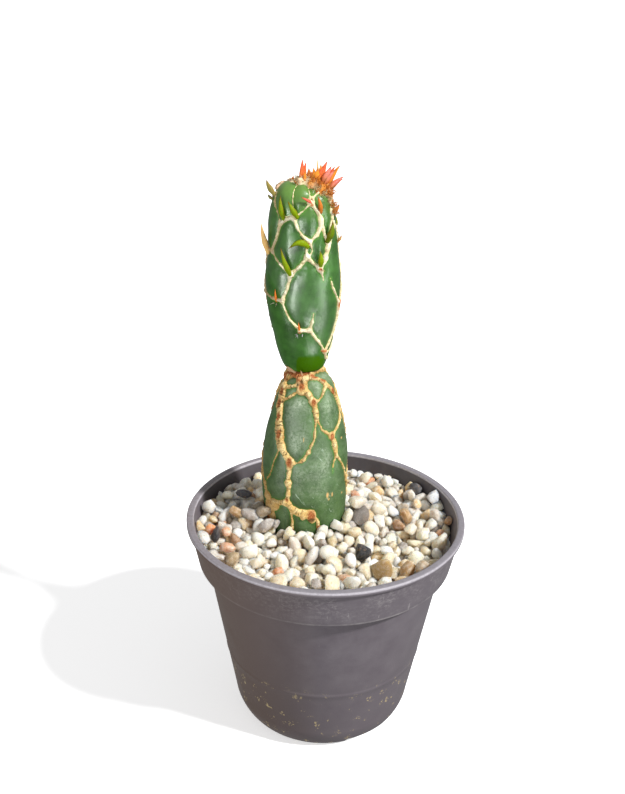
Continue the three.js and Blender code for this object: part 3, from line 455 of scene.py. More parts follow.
def make_piece(name, points, faces, material, attributes=None, node=None):
    """Puts points in mm and faces into a mesh, with one float or colour attribute per point for each entry of
    attributes, and lets the piece ride on the only body. faces is a list of arrays of one corner count."""
    points = np.ascontiguousarray(points, dtype=np.float32).reshape(-1, 3) * MM
    mesh = bpy.data.meshes.new(name)
    corners = np.concatenate([f.ravel() for f in faces]).astype(np.int32)
    counts = np.concatenate([np.full(len(f), f.shape[1]) for f in faces])
    mesh.vertices.add(len(points))
    mesh.vertices.foreach_set("co", points.ravel())
    mesh.loops.add(len(corners))
    mesh.loops.foreach_set("vertex_index", corners)
    mesh.polygons.add(len(counts))
    mesh.polygons.foreach_set("loop_start", np.concatenate([[0], np.cumsum(counts)[:-1]]).astype(np.int32))
    mesh.polygons.foreach_set("use_smooth", np.ones(len(counts), bool))
    for key, values in (attributes or {}).items():
        values = np.asarray(values, dtype=np.float32)
        is_colour = values.ndim == 2
        layer = mesh.attributes.new(key, "FLOAT_COLOR" if is_colour else "FLOAT", "POINT")
        layer.data.foreach_set("color" if is_colour else "value", values.ravel())
    mesh.materials.append(material)
    mesh.update(calc_edges=True)
    mesh.validate()
    piece = new_object(name, mesh)
    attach(piece, "root")
    if node:
        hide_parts(node)
    return piece


def ring_faces(rings, sides):
    """Quads between neighbouring rings of a closed tube whose points are numbered ring by ring."""
    i, k = np.meshgrid(np.arange(rings - 1), np.arange(sides), indexing="ij")
    a = i * sides + k
    b = i * sides + (k + 1) % sides
    return np.stack([a, b, b + sides, a + sides], axis=-1).reshape(-1, 4)


def cap_faces(rings, sides):
    """Triangles that close a tube of rings: its first and last ring meet the two points numbered after it."""
    k = np.arange(sides)
    after = (k + 1) % sides
    last = (rings - 1) * sides
    foot = np.full(sides, rings * sides)
    return np.concatenate([np.stack([foot, after, k], axis=-1),
                           np.stack([foot + 1, last + k, last + after], axis=-1)])


# Pads and their nets

def middle_x(pad, z):
    """Where the pad's middle line stands at height z."""
    heights, places = zip(*pad["axis"])
    return np.interp(z, heights, places)


def skin(pad, turn, share, lift=0.0):
    """A pad's surface. The profile gives half width r and height z at a share of the way up. The point stands
    r sin(turn) to the right of the middle line and DEPTH r cos(turn) in front of it, and is moved by lift
    along the normal, which is the profile's own normal turned the same way."""
    turn, share = np.broadcast_arrays(np.radians(turn), share)
    r, z = np.moveaxis(spline(pad["profile"], share), -1, 0)
    step = 5e-4
    rise = spline(pad["profile"], share + step) - spline(pad["profile"], share - step)
    r = np.maximum(r, 0)
    normal = unit(np.stack([rise[..., 1] * np.sin(turn) * DEPTH, -rise[..., 1] * np.cos(turn),
                            -rise[..., 0] * DEPTH], axis=-1))
    point = np.stack([middle_x(pad, z) + r * np.sin(turn), PLANT_Y - DEPTH * r * np.cos(turn), z], axis=-1)
    return point + normal * np.asarray(lift)[..., None], normal


def share_at(pad, z):
    """The share of the way up the profile at height z, read backwards from a fine table."""
    return np.interp(z, spline(pad["profile"], PROFILE_TABLE)[:, 1], PROFILE_TABLE)


def even_shares(pad, count):
    """Shares that cut the profile into equal lengths, and one such length."""
    steps = np.linalg.norm(np.diff(spline(pad["profile"], PROFILE_TABLE), axis=0), axis=1)
    length = np.concatenate([[0], np.cumsum(steps)])
    return np.interp(np.linspace(0, length[-1], count), length, PROFILE_TABLE), length[-1] / (count - 1)


def strand_points(pad, net, strand):
    """Points along a strand with half width and length so far. Its route is the smooth curve through its
    stops in turn and height, laid on the skin. A free end grows thin over its last few mm."""
    half_width, *stops = strand
    places = np.array([net["knots"][s] if isinstance(s, str) else s for s in stops], float)
    places[:, 0] = np.unwrap(places[:, 0], period=360)
    fine = spline(places, np.linspace(0, 1, 60))
    rough = skin(pad, fine[:, 0], share_at(pad, fine[:, 1]))[0]
    length = np.linalg.norm(np.diff(rough, axis=0), axis=1).sum()
    route = spline(places, np.linspace(0, 1, max(int(length / STRAND_STEP), 4)))
    points = skin(pad, route[:, 0], share_at(pad, route[:, 1]))[0]
    along = np.concatenate([[0], np.cumsum(np.linalg.norm(np.diff(points, axis=0), axis=1))])
    width = (half_width - net["slim"]) * (1 + 0.3 * noise(points, 2.2, 7))
    if not isinstance(stops[-1], str):
        width = width * np.clip((along[-1] - along) / FREE_TAPER, 0.3, 1)
    return points, width, along


def near_free_ends(pad, net, points):
    """1 at the free ends of strands, that falls off as a bell curve of distance."""
    near = np.zeros(len(points))
    for _, *stops in net["strands"]:
        if not isinstance(stops[-1], str):
            turn, z = stops[-1]
            end, _ = skin(pad, float(turn), share_at(pad, float(z)))
            near = np.maximum(near, np.exp(-np.sum((points - end)**2, axis=-1) / END_REACH**2))
    return near


def net_field(pad, net, points):
    """How far each point is outside the net's cork, and how far along its strand the nearest cork lies. A
    strand's distance is the least distance to its points, less their half width. Strands join by the smooth
    minimum -k log(sum of exp(-distance / k)), and a patch is a strand of one point."""
    pieces = [strand_points(pad, net, strand) for strand in net["strands"]]
    for key, radius in net["patches"].items():
        turn, z = net["knots"][key]
        centre = skin(pad, np.array([float(turn)]), share_at(pad, np.array([float(z)])))[0]
        pieces.append((centre, np.array([radius]), np.array([0.0])))
    total = np.zeros(len(points))
    nearest = np.full(len(points), FAR)
    along = np.zeros(len(points))
    for number, (centres, widths, lengths) in enumerate(pieces):
        low, high = centres.min(axis=0) - FAR, centres.max(axis=0) + FAR
        near = np.flatnonzero(np.all((points > low) & (points < high), axis=1))
        away = points[near][:, None] - centres[None]
        gaps = np.sqrt(np.einsum("ijk,ijk->ij", away, away)) - widths
        best = gaps.argmin(axis=1)
        gap = gaps[np.arange(len(near)), best]
        total[near] += np.exp(-gap / WEB)
        closer = gap < nearest[near]
        nearest[near[closer]] = gap[closer]
        along[near[closer]] = lengths[best[closer]] + STRAND_SHIFT * number
    return -WEB * np.log(np.maximum(total, math.exp(-FAR / WEB))), along


def spots(pad, points, places):
    """The strength from 0 to 1 of oval marks on a pad: full within the oval, gone at 1.5 times its size."""
    strength = np.zeros(len(points))
    for turn, z, half_width, half_height in places:
        centre, normal = skin(pad, float(turn), share_at(pad, float(z)))
        across = unit(np.cross([0, 0, 1], normal))
        rise = np.cross(normal, across)
        away = points - centre
        size = np.hypot(away @ across / half_width, away @ rise / half_height) + np.abs(away @ normal) / 6
        strength = np.maximum(strength, 1 - fade(0.7, 1.5, size + 0.35 * noise(points, 0.7, 21)))
    return strength


def covered(pad, net, share, step, turn, gap, along):
    """The field with the cork that covers the top joined to it. Its distance is counted down the profile from
    its edge, and it cracks along the way up."""
    bound = np.interp(turn, *zip(*net["cover"]), period=360)
    edge_row = np.interp(share_at(pad, bound), share, np.arange(len(share)))
    above = ((edge_row[None] - np.arange(1, len(share) - 1)[:, None]) * step).ravel()
    around = np.broadcast_to(np.radians(turn) * COVER_R, (len(share) - 2, len(turn))).ravel()
    joined = -WEB * np.logaddexp(-gap / WEB, -above / WEB)
    return joined, np.where(above < gap, around, along), fade(1.5, -0.5, above)


def pad_pieces(pad, net, areoles, flecks, where, looks):
    """The skin of a pad and the cork on it, from one grid of equal steps up the profile and round it. The
    skin swells from -groove at the cork to bulge - groove, as 1 - exp(-d / round) of the distance d, and the
    groove runs out where a strand ends. The cork covers d < 0 and rises from the groove by
    1 - exp(d / CORK_ROUND) mm, less its cracks; outside it slopes down under the skin."""
    share, step = even_shares(pad, PAD_ROWS)
    rings = PAD_ROWS - 2
    turn = np.arange(PAD_COLUMNS) * 360 / PAD_COLUMNS

    def raised(lift):
        """The grid's points, lifted off the bare surface."""
        lift = lift.reshape(rings, PAD_COLUMNS)
        return skin(pad, turn[None, :], share[1:-1, None], lift)[0].reshape(-1, 3)

    flat = raised(np.zeros(rings * PAD_COLUMNS))
    gap, along = net_field(pad, net, flat)
    top = np.zeros(len(flat))
    if "cover" in net:
        gap, along, top = covered(pad, net, share, step, turn, gap, along)
    gap = gap + looks["ragged"] * (rough_noise(flat, 1.1, 31) + 0.4 * noise(flat, 0.55, 35))
    brown = spots(pad, flat, areoles)
    gap = gap - 0.5 * brown * (gap > -1)
    brown = np.maximum(brown, top * fade(-0.15, 0.35, rough_noise(flat, 2.1, 24)))

    out = np.maximum(gap, 0)
    groove = looks["groove"] * (1 - near_free_ends(pad, net, flat)) * np.interp(flat[:, 2], *looks["sink"])
    rest = looks["bulge"] - looks["groove"]
    lift = rest - (groove + rest) * np.exp(-out / looks["round"]) + 0.12 * noise(flat, 7, 41)
    ends = skin(pad, np.zeros(2), np.array([0.0, 1.0]))[0]
    faces = [ring_faces(rings, PAD_COLUMNS), cap_faces(rings, PAD_COLUMNS)]
    fresh_edge = np.tile(np.interp(turn, *zip(*FRESH_EDGE), period=360), rings)
    fresh_edge = fresh_edge + 0.9 * rough_noise(flat, 2.2, 45)
    painted = {"edge": np.minimum(out, 4), "height": flat[:, 2], "fleck": spots(pad, flat, flecks),
               "fresh": looks["fresh"] * fade(0.8, -0.8, flat[:, 2] - fresh_edge)}
    painted = {key: np.append(values, [values[0], values[-1]]) for key, values in painted.items()}
    make_piece(f"{where}_pad_skin", np.concatenate([raised(lift), ends]), faces, looks["skin"],
               painted, f"{where}_pad")

    pitch = looks["crack_pitch"]
    place = along / pitch + 0.35 * noise(flat, 1.3, 51)
    number = np.floor(place)
    offset = (place - number - 0.5) * pitch
    chance = lattice(np.stack([number, number * 0, number * 0], axis=-1), 61) * 0.5 + 0.5
    crack = np.exp(-(offset / looks["crack_width"])**2) * (chance > looks["crack_chance"])
    crack = crack * fade(0.2, -0.1, gap) * fade(-0.45, 0.25, noise(flat, 1.1, 63))
    inside = np.maximum(-gap, 0)
    grain = rough_noise(flat, 1.2, 71)
    rise = -groove + (1 - np.exp(-inside / CORK_ROUND)) - out * 2 + COVER_RISE * top
    rise = rise + np.minimum(inside, 0.5) * (0.45 * grain - 0.8 * crack)
    rise = rise - 0.25 * brown * np.minimum(inside, 1)
    both = np.concatenate([raised(rise), raised(-groove - CORK_BASE)])
    quads = faces[0]
    quads = quads[np.all(gap[quads] < CORK_SKIRT, axis=1)]
    count = len(flat)
    edges = np.stack([quads, np.roll(quads, -1, axis=1)], axis=-1).reshape(-1, 2)
    key = edges[:, 0] * count + edges[:, 1]
    rim = edges[~np.isin(key, edges[:, 1] * count + edges[:, 0])]
    walls = np.stack([rim[:, 1], rim[:, 0], rim[:, 0] + count, rim[:, 1] + count], axis=-1)
    used, renumbered = np.unique(np.concatenate([quads, quads[:, ::-1] + count, walls]), return_inverse=True)
    painted = {"brown": brown, "crack": crack, "edge": gap, "grain": grain}
    painted = {key: np.tile(values, 2)[used] for key, values in painted.items()}
    make_piece(f"{where}_net_cork", both[used], [renumbered.reshape(-1, 4)], looks["cork"],
               painted, f"{where}_net")


# Awls: leaves, spines and hairs

def sweep(centres, side, rise, radii, flatness, sides):
    """Rings of a tube along centres: radius r across along side, and r times flatness along rise. centres,
    side and rise are (tube, ring, 3), radii is (tube, ring), and the result is (tube, ring, side, 3)."""
    a = circle(sides)
    across = side[:, :, None] * np.cos(a)[:, None] + flatness * rise[:, :, None] * np.sin(a)[:, None]
    return centres[:, :, None] + radii[..., None, None] * across


def awls(roots, tips, bows, radii, out, flatness=0.8, wide_at=0.3):
    """Pointed leaves. The middle line goes from root to tip and stands off it by 4 s (1 - s) of the bow. The
    half width swells from 0.72 at the root to 1 at wide_at and closes as the 0.8th power of what is left."""
    s = np.linspace(-0.1, 1, AWL_RINGS)
    chord = tips - roots
    centres = roots[:, None] + chord[:, None] * s[:, None] + bows[:, None] * (4 * s * (1 - s))[:, None]
    heading = unit(np.gradient(centres, axis=1))
    side = unit(np.cross(heading, out[:, None]))
    rise = np.cross(side, heading)
    swell = 0.72 + 0.28 * fade(0, wide_at, s)
    close = np.clip((1 - s) / (1 - wide_at), 0, 1) ** 0.8
    shape = np.maximum(np.where(s < wide_at, swell, close), 0.03)
    tubes = sweep(centres, side, rise, radii[:, None] * shape, flatness, AWL_SIDES)
    return tubes, np.broadcast_to(s, centres.shape[:2])


def awl_mesh(tubes, shares, tints):
    """Points and faces of closed tubes, and their attributes: the share of the way along, each tube's tint,
    and the rim, which is 1 at both sides of a leaf and 0 along its middle."""
    count, rings, sides, _ = tubes.shape
    ends = np.stack([tubes[:, 0].mean(axis=1), tubes[:, -1].mean(axis=1)], axis=1)
    points = np.concatenate([tubes.reshape(count, -1, 3), ends], axis=1)
    step = np.arange(count)[:, None, None] * points.shape[1]
    faces = [(f[None] + step).reshape(-1, f.shape[1])
             for f in (ring_faces(rings, sides), cap_faces(rings, sides))]
    rim = np.append(np.tile(np.abs(np.cos(circle(sides))), rings), [0, 0])
    share = np.concatenate([np.repeat(shares, sides, axis=1), shares[:, :1], shares[:, -1:]], axis=1)
    return points.reshape(-1, 3), faces, {"share": share.ravel(), "rim": np.tile(rim, count),
                                          "tint": np.repeat(tints, points.shape[1], axis=0)}


def pad_awls(pad, rows, bow):
    """Roots, tips, bows and outward directions of awls on a pad. The reach is the way up the skin, leant to
    the side by one angle and off the skin by another."""
    turn, z, length, lean, lift = np.array(rows, float).T
    share = share_at(pad, z)
    root, normal = skin(pad, turn, share)
    up = unit(skin(pad, turn, np.minimum(share + 0.01, 1))[0] - skin(pad, turn, share - 0.01)[0])
    side = unit(np.cross(up, normal))
    lean, lift = np.radians(lean)[:, None], np.radians(lift)[:, None]
    flat = up * np.cos(lean) + side * np.sin(lean)
    reach = flat * np.cos(lift) + normal * np.sin(lift)
    return root, root + reach * length[:, None], normal * (bow * length)[:, None], normal


def free_awls(rows, bow, out, flatness, wide_at):
    """The mesh of awls that stand free of the pads, each a row of root, tip, half width and colour. Each is
    arched upwards by bow for each mm of its length, and its flat side faces out."""
    roots, tips = (np.array([row[i] for row in rows], float) for i in (0, 1))
    bows = bow * np.linalg.norm(tips - roots, axis=1)[:, None] * np.array([[0, 0, 1.0]])
    radii = np.array([row[2] for row in rows])
    tubes, shares = awls(roots, tips, bows, radii, np.tile([out], (len(rows), 1)), flatness, wide_at)
    return awl_mesh(tubes, shares, np.array([colour(row[3]) for row in rows]))


def bristles(roots, ways, lengths, rng):
    """Thin hairs, each a tapering tube of three sides that bends a little to one side."""
    s = np.array([0, 0.55, 1.0])
    bend = unit(rng.normal(size=roots.shape)) * lengths[:, None] * HAIR_BEND
    centres = (roots[:, None] + ways[:, None] * (lengths[:, None] * s)[..., None]
               + bend[:, None] * (s**2)[:, None])
    side = unit(np.cross(ways, rng.normal(size=roots.shape)))[:, None]
    radii = HAIR_R * np.array([[1, 0.7, 0.12]])
    tubes = sweep(centres, side, np.cross(side, ways[:, None]), radii, 1.0, HAIR_SIDES)
    return tubes, np.broadcast_to(s, centres.shape[:2])


# Materials. A finish gets node, which adds to the material's nodes, and here, the surface's own coordinates
# in metres, and gives the shader. The scale of a pattern is PER_MM over its size in mm.

# What a node is given unless a call says otherwise
USUAL = {
    "Mix": {"data_type": "RGBA"},
    "Math": {"operation": "MULTIPLY"},
    "TexNoise": {"Detail": 3.0, "Roughness": 0.55},
}


def add_node(tree, kind, *values, out=None, **settings):
    """Adds a node and gives its output named out, or its first. A setting with a capital is an input, with _
    for a space, and any other is a property. values then go into its inputs in turn, over the usual ones. A
    socket is linked to, and a hex value is turned to linear colour."""
    node = tree.nodes.new("ShaderNode" + kind)
    pairs = []
    for key, value in {**USUAL.get(kind, {}), **settings}.items():
        if key[0].isupper():
            pairs.append((node.inputs[key.replace("_", " ")], value))
        else:
            setattr(node, key, value)
    pairs += zip([socket for socket in node.inputs if socket.enabled], values)
    for socket, value in pairs:
        if isinstance(value, bpy.types.NodeSocket):
            tree.links.new(value, socket)
        else:
            socket.default_value = colour(value) if isinstance(value, str) else value
    return node.outputs[out] if out else next((socket for socket in node.outputs if socket.enabled), None)


def new_material(name, finish, *looks):
    """A material whose surface is the shader that finish makes with those looks."""
    material = bpy.data.materials.new(name)
    material.use_nodes = True
    tree = material.node_tree
    tree.nodes.clear()
    node = partial(add_node, tree)
    node("OutputMaterial", Surface=finish(node, node("TexCoord", out="Object"), *looks))
    return material


def product_of(node, *factors):
    """The factors multiplied together. A factor that is a tuple is a value mapped from one range to another,
    or to 0 to 1, and clamped."""
    factors = [node("MapRange", *factor) if isinstance(factor, tuple) else factor for factor in factors]
    return reduce(partial(node, "Math"), factors)


def layered(node, base, *layers):
    """Colours laid over the base in turn. A layer is the factors of its share, and then its colour."""
    for *factors, tint in layers:
        base = node("Mix", product_of(node, *factors), base, tint)
    return base


def stem_skin(node, here, deep, light, border, top_light, roughness, coat, wax_and_sheen):
    """Living stem skin: a waxy, finely grained cuticle. Deep green with lighter blotches, a thin bright
    border where cells still grow beside the cork, a lighter top that is painted light from above, and a
    fresher foot. Where its wax and sheen amount is set, a whitish wax, partly real and partly a painted
    sheen, is laid in blotches and faint slanting scratches: it is thickest high up, where light from above
    falls, and thins low down and at both sides, on the left as painted shade. The younger pad's gloss
    fades at the tip, and its skin is dull below the lowest strand, but for one spot. Heights are in mm and
    places across in metres."""
    edge, height, fresh, fleck = (node("Attribute", attribute_name=key, out="Fac")
                                  for key in ("edge", "height", "fresh", "fleck"))
    across = node("SeparateXYZ", here)
    # The skin is painted lighter towards the top, between the two given heights: painted light from above.
    low, high, top_light_colour = top_light
    blotches = (node("TexNoise", here, PER_MM / 5), 0.36, 0.66)
    specks = (node("TexNoise", here, PER_MM / 0.45, 4), 0.3, 0.7, 0, 0.4)
    base = layered(node, deep, (blotches, light), (specks, light), ((height, low, high, 0, 0.7), top_light_colour))
    if wax_and_sheen:
        # Where the wax lies: thinner near the cork and towards both sides; its thinning on the left is
        # painted shade on the side away from the light.
        middle = product_of(node, (edge, 0.4, 3, 0.15, 1), (across, -0.021, -0.012, 0.15, 1),
                            (across, 0, 0.006, 1, 0.35))
        turned = node("VectorRotate", Vector=here, Axis=(0, 1, 0), Angle=0.7)
        drawn = node("Mapping", Vector=turned, Scale=(1, 1, 0.16))
        film = (node("TexNoise", here, PER_MM / 9, 2), 0.36, 0.66, 0.15, 1)
        rubbed = (node("TexNoise", here, PER_MM / 0.9, 6, 0.75), 0.38, 0.62)
        scratches = (node("TexNoise", drawn, PER_MM / 0.8, 4, 0.6), 0.62, 0.7)
        scratched = (node("TexNoise", here, PER_MM / 6), 0.46, 0.58)
        # The wax is laid thicker from 98 mm up to 128 mm: partly a painted sheen where light from above
        # falls.
        base = layered(node, base, (film, middle, rubbed, (height, 98, 128, 0.32, 1), wax_and_sheen, "#b8c6ac"),
                       (scratches, scratched, middle, "#a4b8a0"))
    base = layered(node, base, ((edge, 0.1, 0.75, 0.6, 0), border), (fresh, "#3c6800"),
                   (fleck, "#cfa765"))
    # The lowest strand drops towards the right and rises towards the left, by as many mm as these reach
    left = product_of(node, (across, -0.0224, -0.0104, 19.8, 0))
    right = product_of(node, (across, -0.0075, 0.0005, 0, 11.7))
    level = node("Math", node("Math", height, left, operation="SUBTRACT"), right, operation="ADD")
    spot = product_of(node, (height, 156.5, 152.8), (height, 150.2, 151.6),
                      (across, -0.0092, -0.0068), (across, -0.0024, -0.0044))
    dull = product_of(node, (level, 162, 160.2), (spot, 0, 1, 1, 0), (height, 141.6, 142.4))
    wax = product_of(node, (fresh, 0, 1, coat, 0), (dull, 0, 1, 1, 0.2), (height, 201, 206, 1, 0.35))
    gloss = product_of(node, (fresh, 0, 1, 0.4, 0.1), (dull, 0, 1, 1, 0.35))
    mottled = node("TexNoise", here, PER_MM / 3.5, 4)
    grain = node("TexNoise", here, PER_MM / 0.35, 2)
    return node("BsdfPrincipled", Base_Color=base,
                Roughness=product_of(node, (mottled, 0.3, 0.7, roughness, roughness + 0.1)),
                Specular_IOR_Level=gloss, Coat_Weight=wax, Coat_Roughness=0.24,
                Normal=node("Bump", Height=grain, Distance=0.03 * MM, Strength=0.4))


def cork_bark(node, here, pale, mid, margin, rust, dark):
    """Dry cork: dead, corky tissue that cracks across as the stem swells. Pale crests, duller grain between,
    a darker margin, a left side painted browner, partly browner cork and partly painted shade away from the
    light, rusty fibrous areole cushions and dark cracks, with no gloss."""
    grain, edge, brown, crack = (node("Attribute", attribute_name=key, out="Fac")
                                 for key in ("grain", "edge", "brown", "crack"))
    ragged = node("TexNoise", here, PER_MM / 0.8)
    blush = node("TexNoise", here, PER_MM / 3, 2)
    speck = node("TexNoise", here, PER_MM / 0.4, 4, 0.7)
    fibre = node("TexNoise", here, PER_MM / 0.5)
    base = layered(node, mid,
                   ((grain, -0.5, 0.7), pale),
                   ((edge, -0.4, 0.1), (ragged, 0.35, 0.65, 0.3, 1), margin),
                   ((blush, 0.52, 0.68, 0, 0.5), margin),
                   # Past 16.8 mm left of the pot's axis the cork is painted browner: partly browner cork,
                   # partly painted shade on the side away from the light.
                   ((node("SeparateXYZ", here), -0.0168, -0.0205, 0, 0.6), "#94703f"),
                   ((speck, 0.52, 0.66, 0, 0.7), dark),
                   (brown, layered(node, rust, ((fibre, 0.38, 0.62), "#bd7a4a"))),
                   ((crack, 0.2, 0.9, 0, 0.9), dark))
    return node("BsdfPrincipled", Base_Color=base, Roughness=0.88, Specular_IOR_Level=0.25,
                Normal=node("Bump", Height=speck, Distance=0.24 * MM, Strength=0.9))


def young_tissue(node, here, tip, roughness):
    """Young leaves and spines: fleshy and smooth, in their own colour, darker along both edges as painted
    shade where the round leaf or spine turns away, and darker at the dry tip, though pale ones stay light. A
    little light passes through them."""
    own = node("Attribute", attribute_name="tint")
    share, rim = (node("Attribute", attribute_name=key, out="Fac") for key in ("share", "rim"))
    streak = node("TexNoise", here, PER_MM / 0.7)
    fresh = product_of(node, (node("RGBToBW", own), 0.5, 0.62, 1, 0.3))
    base = layered(node, own,
                   # Both sides of each leaf and spine are painted darker here: painted shade.
                   ((rim, 0.5, 1, 0, 0.4), fresh, tip),
                   ((share, 0.72, 0.98), fresh, tip),
                   ((streak, 0.48, 0.7, 0, 0.35), fresh, tip))
    return node("BsdfPrincipled", Base_Color=base, Roughness=roughness, Specular_IOR_Level=0.15,
                Subsurface_Weight=0.3, Subsurface_Radius=(0.001, 0.0006, 0.0003), Subsurface_Scale=1.0,
                Normal=node("Bump", Height=streak, Distance=0.1 * MM, Strength=0.5))


def felt(node, here):
    """Areole wool and bristles: fine dull hair in the colour painted on each piece."""
    own = node("Attribute", attribute_name="tint")
    tangle = node("TexNoise", here, PER_MM / 0.4, 5, 0.75)
    shaded = node("HueSaturation", Color=own, Value=0.72, Saturation=1.15)
    return node("BsdfPrincipled", Base_Color=layered(node, own, ((tangle, 0.47, 0.64, 0, 0.7), shaded)),
                Roughness=0.9, Specular_IOR_Level=0.2,
                Normal=node("Bump", Height=tangle, Distance=0.5 * MM, Strength=1.0))


def quartz(node, here):
    """Crushed and tumbled quartz grit: clouded stones that let light through, each in its own colour, with
    ochre stains, grey veins and a dull, waxy gloss. Clouds and frost show less on the dark ones."""
    own = node("Attribute", attribute_name="tint")
    cloud = node("TexNoise", here, PER_MM / 1.5, 4)
    stain = node("TexNoise", here, PER_MM / 2.4, 5, 0.7)
    vein = node("TexNoise", here, PER_MM / 0.6, 5, 0.75)
    frost = node("TexNoise", here, PER_MM / 0.35, 3, 0.7)
    pale = product_of(node, (node("RGBToBW", own), 0.1, 0.45, 0.12, 1))
    base = layered(node, own,
                   ((cloud, 0.45, 0.7, 0, 0.45), pale, "#fdfaf4"),
                   ((stain, 0.57, 0.72, 0, 0.45), "#b08a5a"),
                   ((vein, 0.54, 0.68, 0, 0.6), "#76675a"),
                   ((frost, 0.5, 0.66, 0, 0.4), pale, "#fffaf0"))
    return node("BsdfPrincipled", Base_Color=base, Specular_IOR_Level=0.4,
                Roughness=product_of(node, (cloud, 0.3, 0.7, 0.35, 0.6)),
                Subsurface_Weight=1.0, Subsurface_Radius=(0.004, 0.0035, 0.003), Subsurface_Scale=1.0,
                Normal=node("Bump", Height=vein, Distance=0.45 * MM, Strength=0.9))


def nursery_plastic(node, here):
    """Injection-moulded polypropylene in taupe grey: faintly grained, worn pale on the lip, partly a painted
    highlight that is brightest along its outer edge, with a chalky film of dried water, drips and scuffs on
    the collar, a brown tint low down and towards the left that is partly soil and partly painted shade, the
    outer left side, away from the light, painted darker and browner as painted shade, crumbs of dried soil,
    and painted shade that darkens the inner wall at the back. Places and heights are in metres."""
    across, depth, height = (node("SeparateXYZ", here, out=axis) for axis in "XYZ")
    outward = node("VectorMath", here, node("NewGeometry", out="Normal"), operation="DOT_PRODUCT")
    outer = product_of(node, (outward, 0, 0.02))
    collar = product_of(node, (height, 0.068, 0.072), (height, 0.084, 0.0825), outer)
    cloud = node("TexNoise", here, PER_MM / 9, 5, 0.65)
    flat_line, drip_line = (node("Mapping", Vector=here, Scale=(1, 1, rise)) for rise in (1.5, 0.12))
    # damp here is painted shade: a darker colour over the inner wall at the back.
    damp = (outward, 0, -0.02), (depth, 0.01, 0.016)
    scuffs = (node("TexNoise", flat_line, PER_MM / 1.8, 8, 0.8), 0.47, 0.68)
    patches = (node("TexNoise", here, PER_MM / 14), 0.34, 0.54)
    chalk = scuffs, patches, collar, (height, 0.072, 0.078, 0.35, 1)
    hem = (height, 0.0695, 0.0698), (height, 0.0706, 0.0702), (cloud, 0.45, 0.65, 0.1, 0.45)
    drips = (node("TexNoise", drip_line, PER_MM, 2), 0.68, 0.73)
    thin = (node("TexNoise", here, PER_MM / 5, 6, 0.8), 0.63, 0.7, 0, 0.3)
    # Browner and darker low down and more so to the left, in clouds: partly soil stains and partly painted
    # shade low down and on the side away from the light.
    soil_and_low_shade = (height, 0.06, 0.01), (across, 0.012, -0.042, 0.25, 1), (cloud, 0.25, 0.6, 0.5, 1)
    # The outer left side, away from the light, is painted darker and browner: painted shade.
    left_side_shade = (across, 0, -0.046, 0, 0.9)
    worn = (node("TexNoise", flat_line, PER_MM / 1.5, 5, 0.8), 0.35, 0.65, 0.55, 1)
    # The lip is painted lighter on its top and lighter still along its outer edge: partly wear and partly a
    # painted highlight on the rounded edge.
    lip = (height, 0.0857, 0.0859)
    lip_edge_highlight = (height, 0.0848, 0.0853), (height, 0.0859, 0.0857)
    crumbs = (node("TexNoise", here, PER_MM / 1.1, 5, 0.7), 0.54, 0.58)
    soiled = (node("TexNoise", here, PER_MM / 4.5, 2), 0.585, 0.625), (height, 0.034, 0.026)
    base = layered(node, "#5d565c", ((cloud, 0.3, 0.7), "#6b656a"), (*damp, 0.5, "#262426"),
                   (*chalk, 0.42, "#b3aeac"), (*hem, "#b3aeac"), (drips, collar, 0.45, "#a9a4a3"),
                   (thin, "#7d7778"), (*soil_and_low_shade, 0.85, "#36271d"), (outer, left_side_shade, "#604936"),
                   (lip, worn, "#8d898f"), (*lip_edge_highlight, worn, "#bdb9bf"), (crumbs, *soiled, "#b5a277"))
    grain = node("TexNoise", here, PER_MM / 0.5)
    return node("BsdfPrincipled", Base_Color=base, Specular_IOR_Level=0.5,
                Roughness=product_of(node, (cloud, 0.3, 0.7, 0.4, 0.55)),
                Normal=node("Bump", Height=grain, Distance=0.05 * MM, Strength=0.5))


def peat(node, here):
    """Potting mix: damp peat and bark fines, dark brown with tan crumbs, and dull."""
    crumb = node("TexNoise", here, PER_MM / 1.5, 5, 0.7)
    base = layered(node, "#1d140d", ((crumb, 0.35, 0.55), "#3b2a1c"), ((crumb, 0.55, 0.72), "#6d5236"))
    return node("BsdfPrincipled", Base_Color=base, Roughness=0.95, Specular_IOR_Level=0.2,
                Normal=node("Bump", Height=crumb, Distance=0.8 * MM, Strength=1.0))


def pale_card(node, here):
    """The floor, which isn't part of the object: matt card that glows a little, to keep a shadow pale."""
    return node("BsdfPrincipled", Base_Color="#fcfcfb", Roughness=0.9, Specular_IOR_Level=0.1,
                Emission_Color="#ffffff", Emission_Strength=0.5)


# Pot

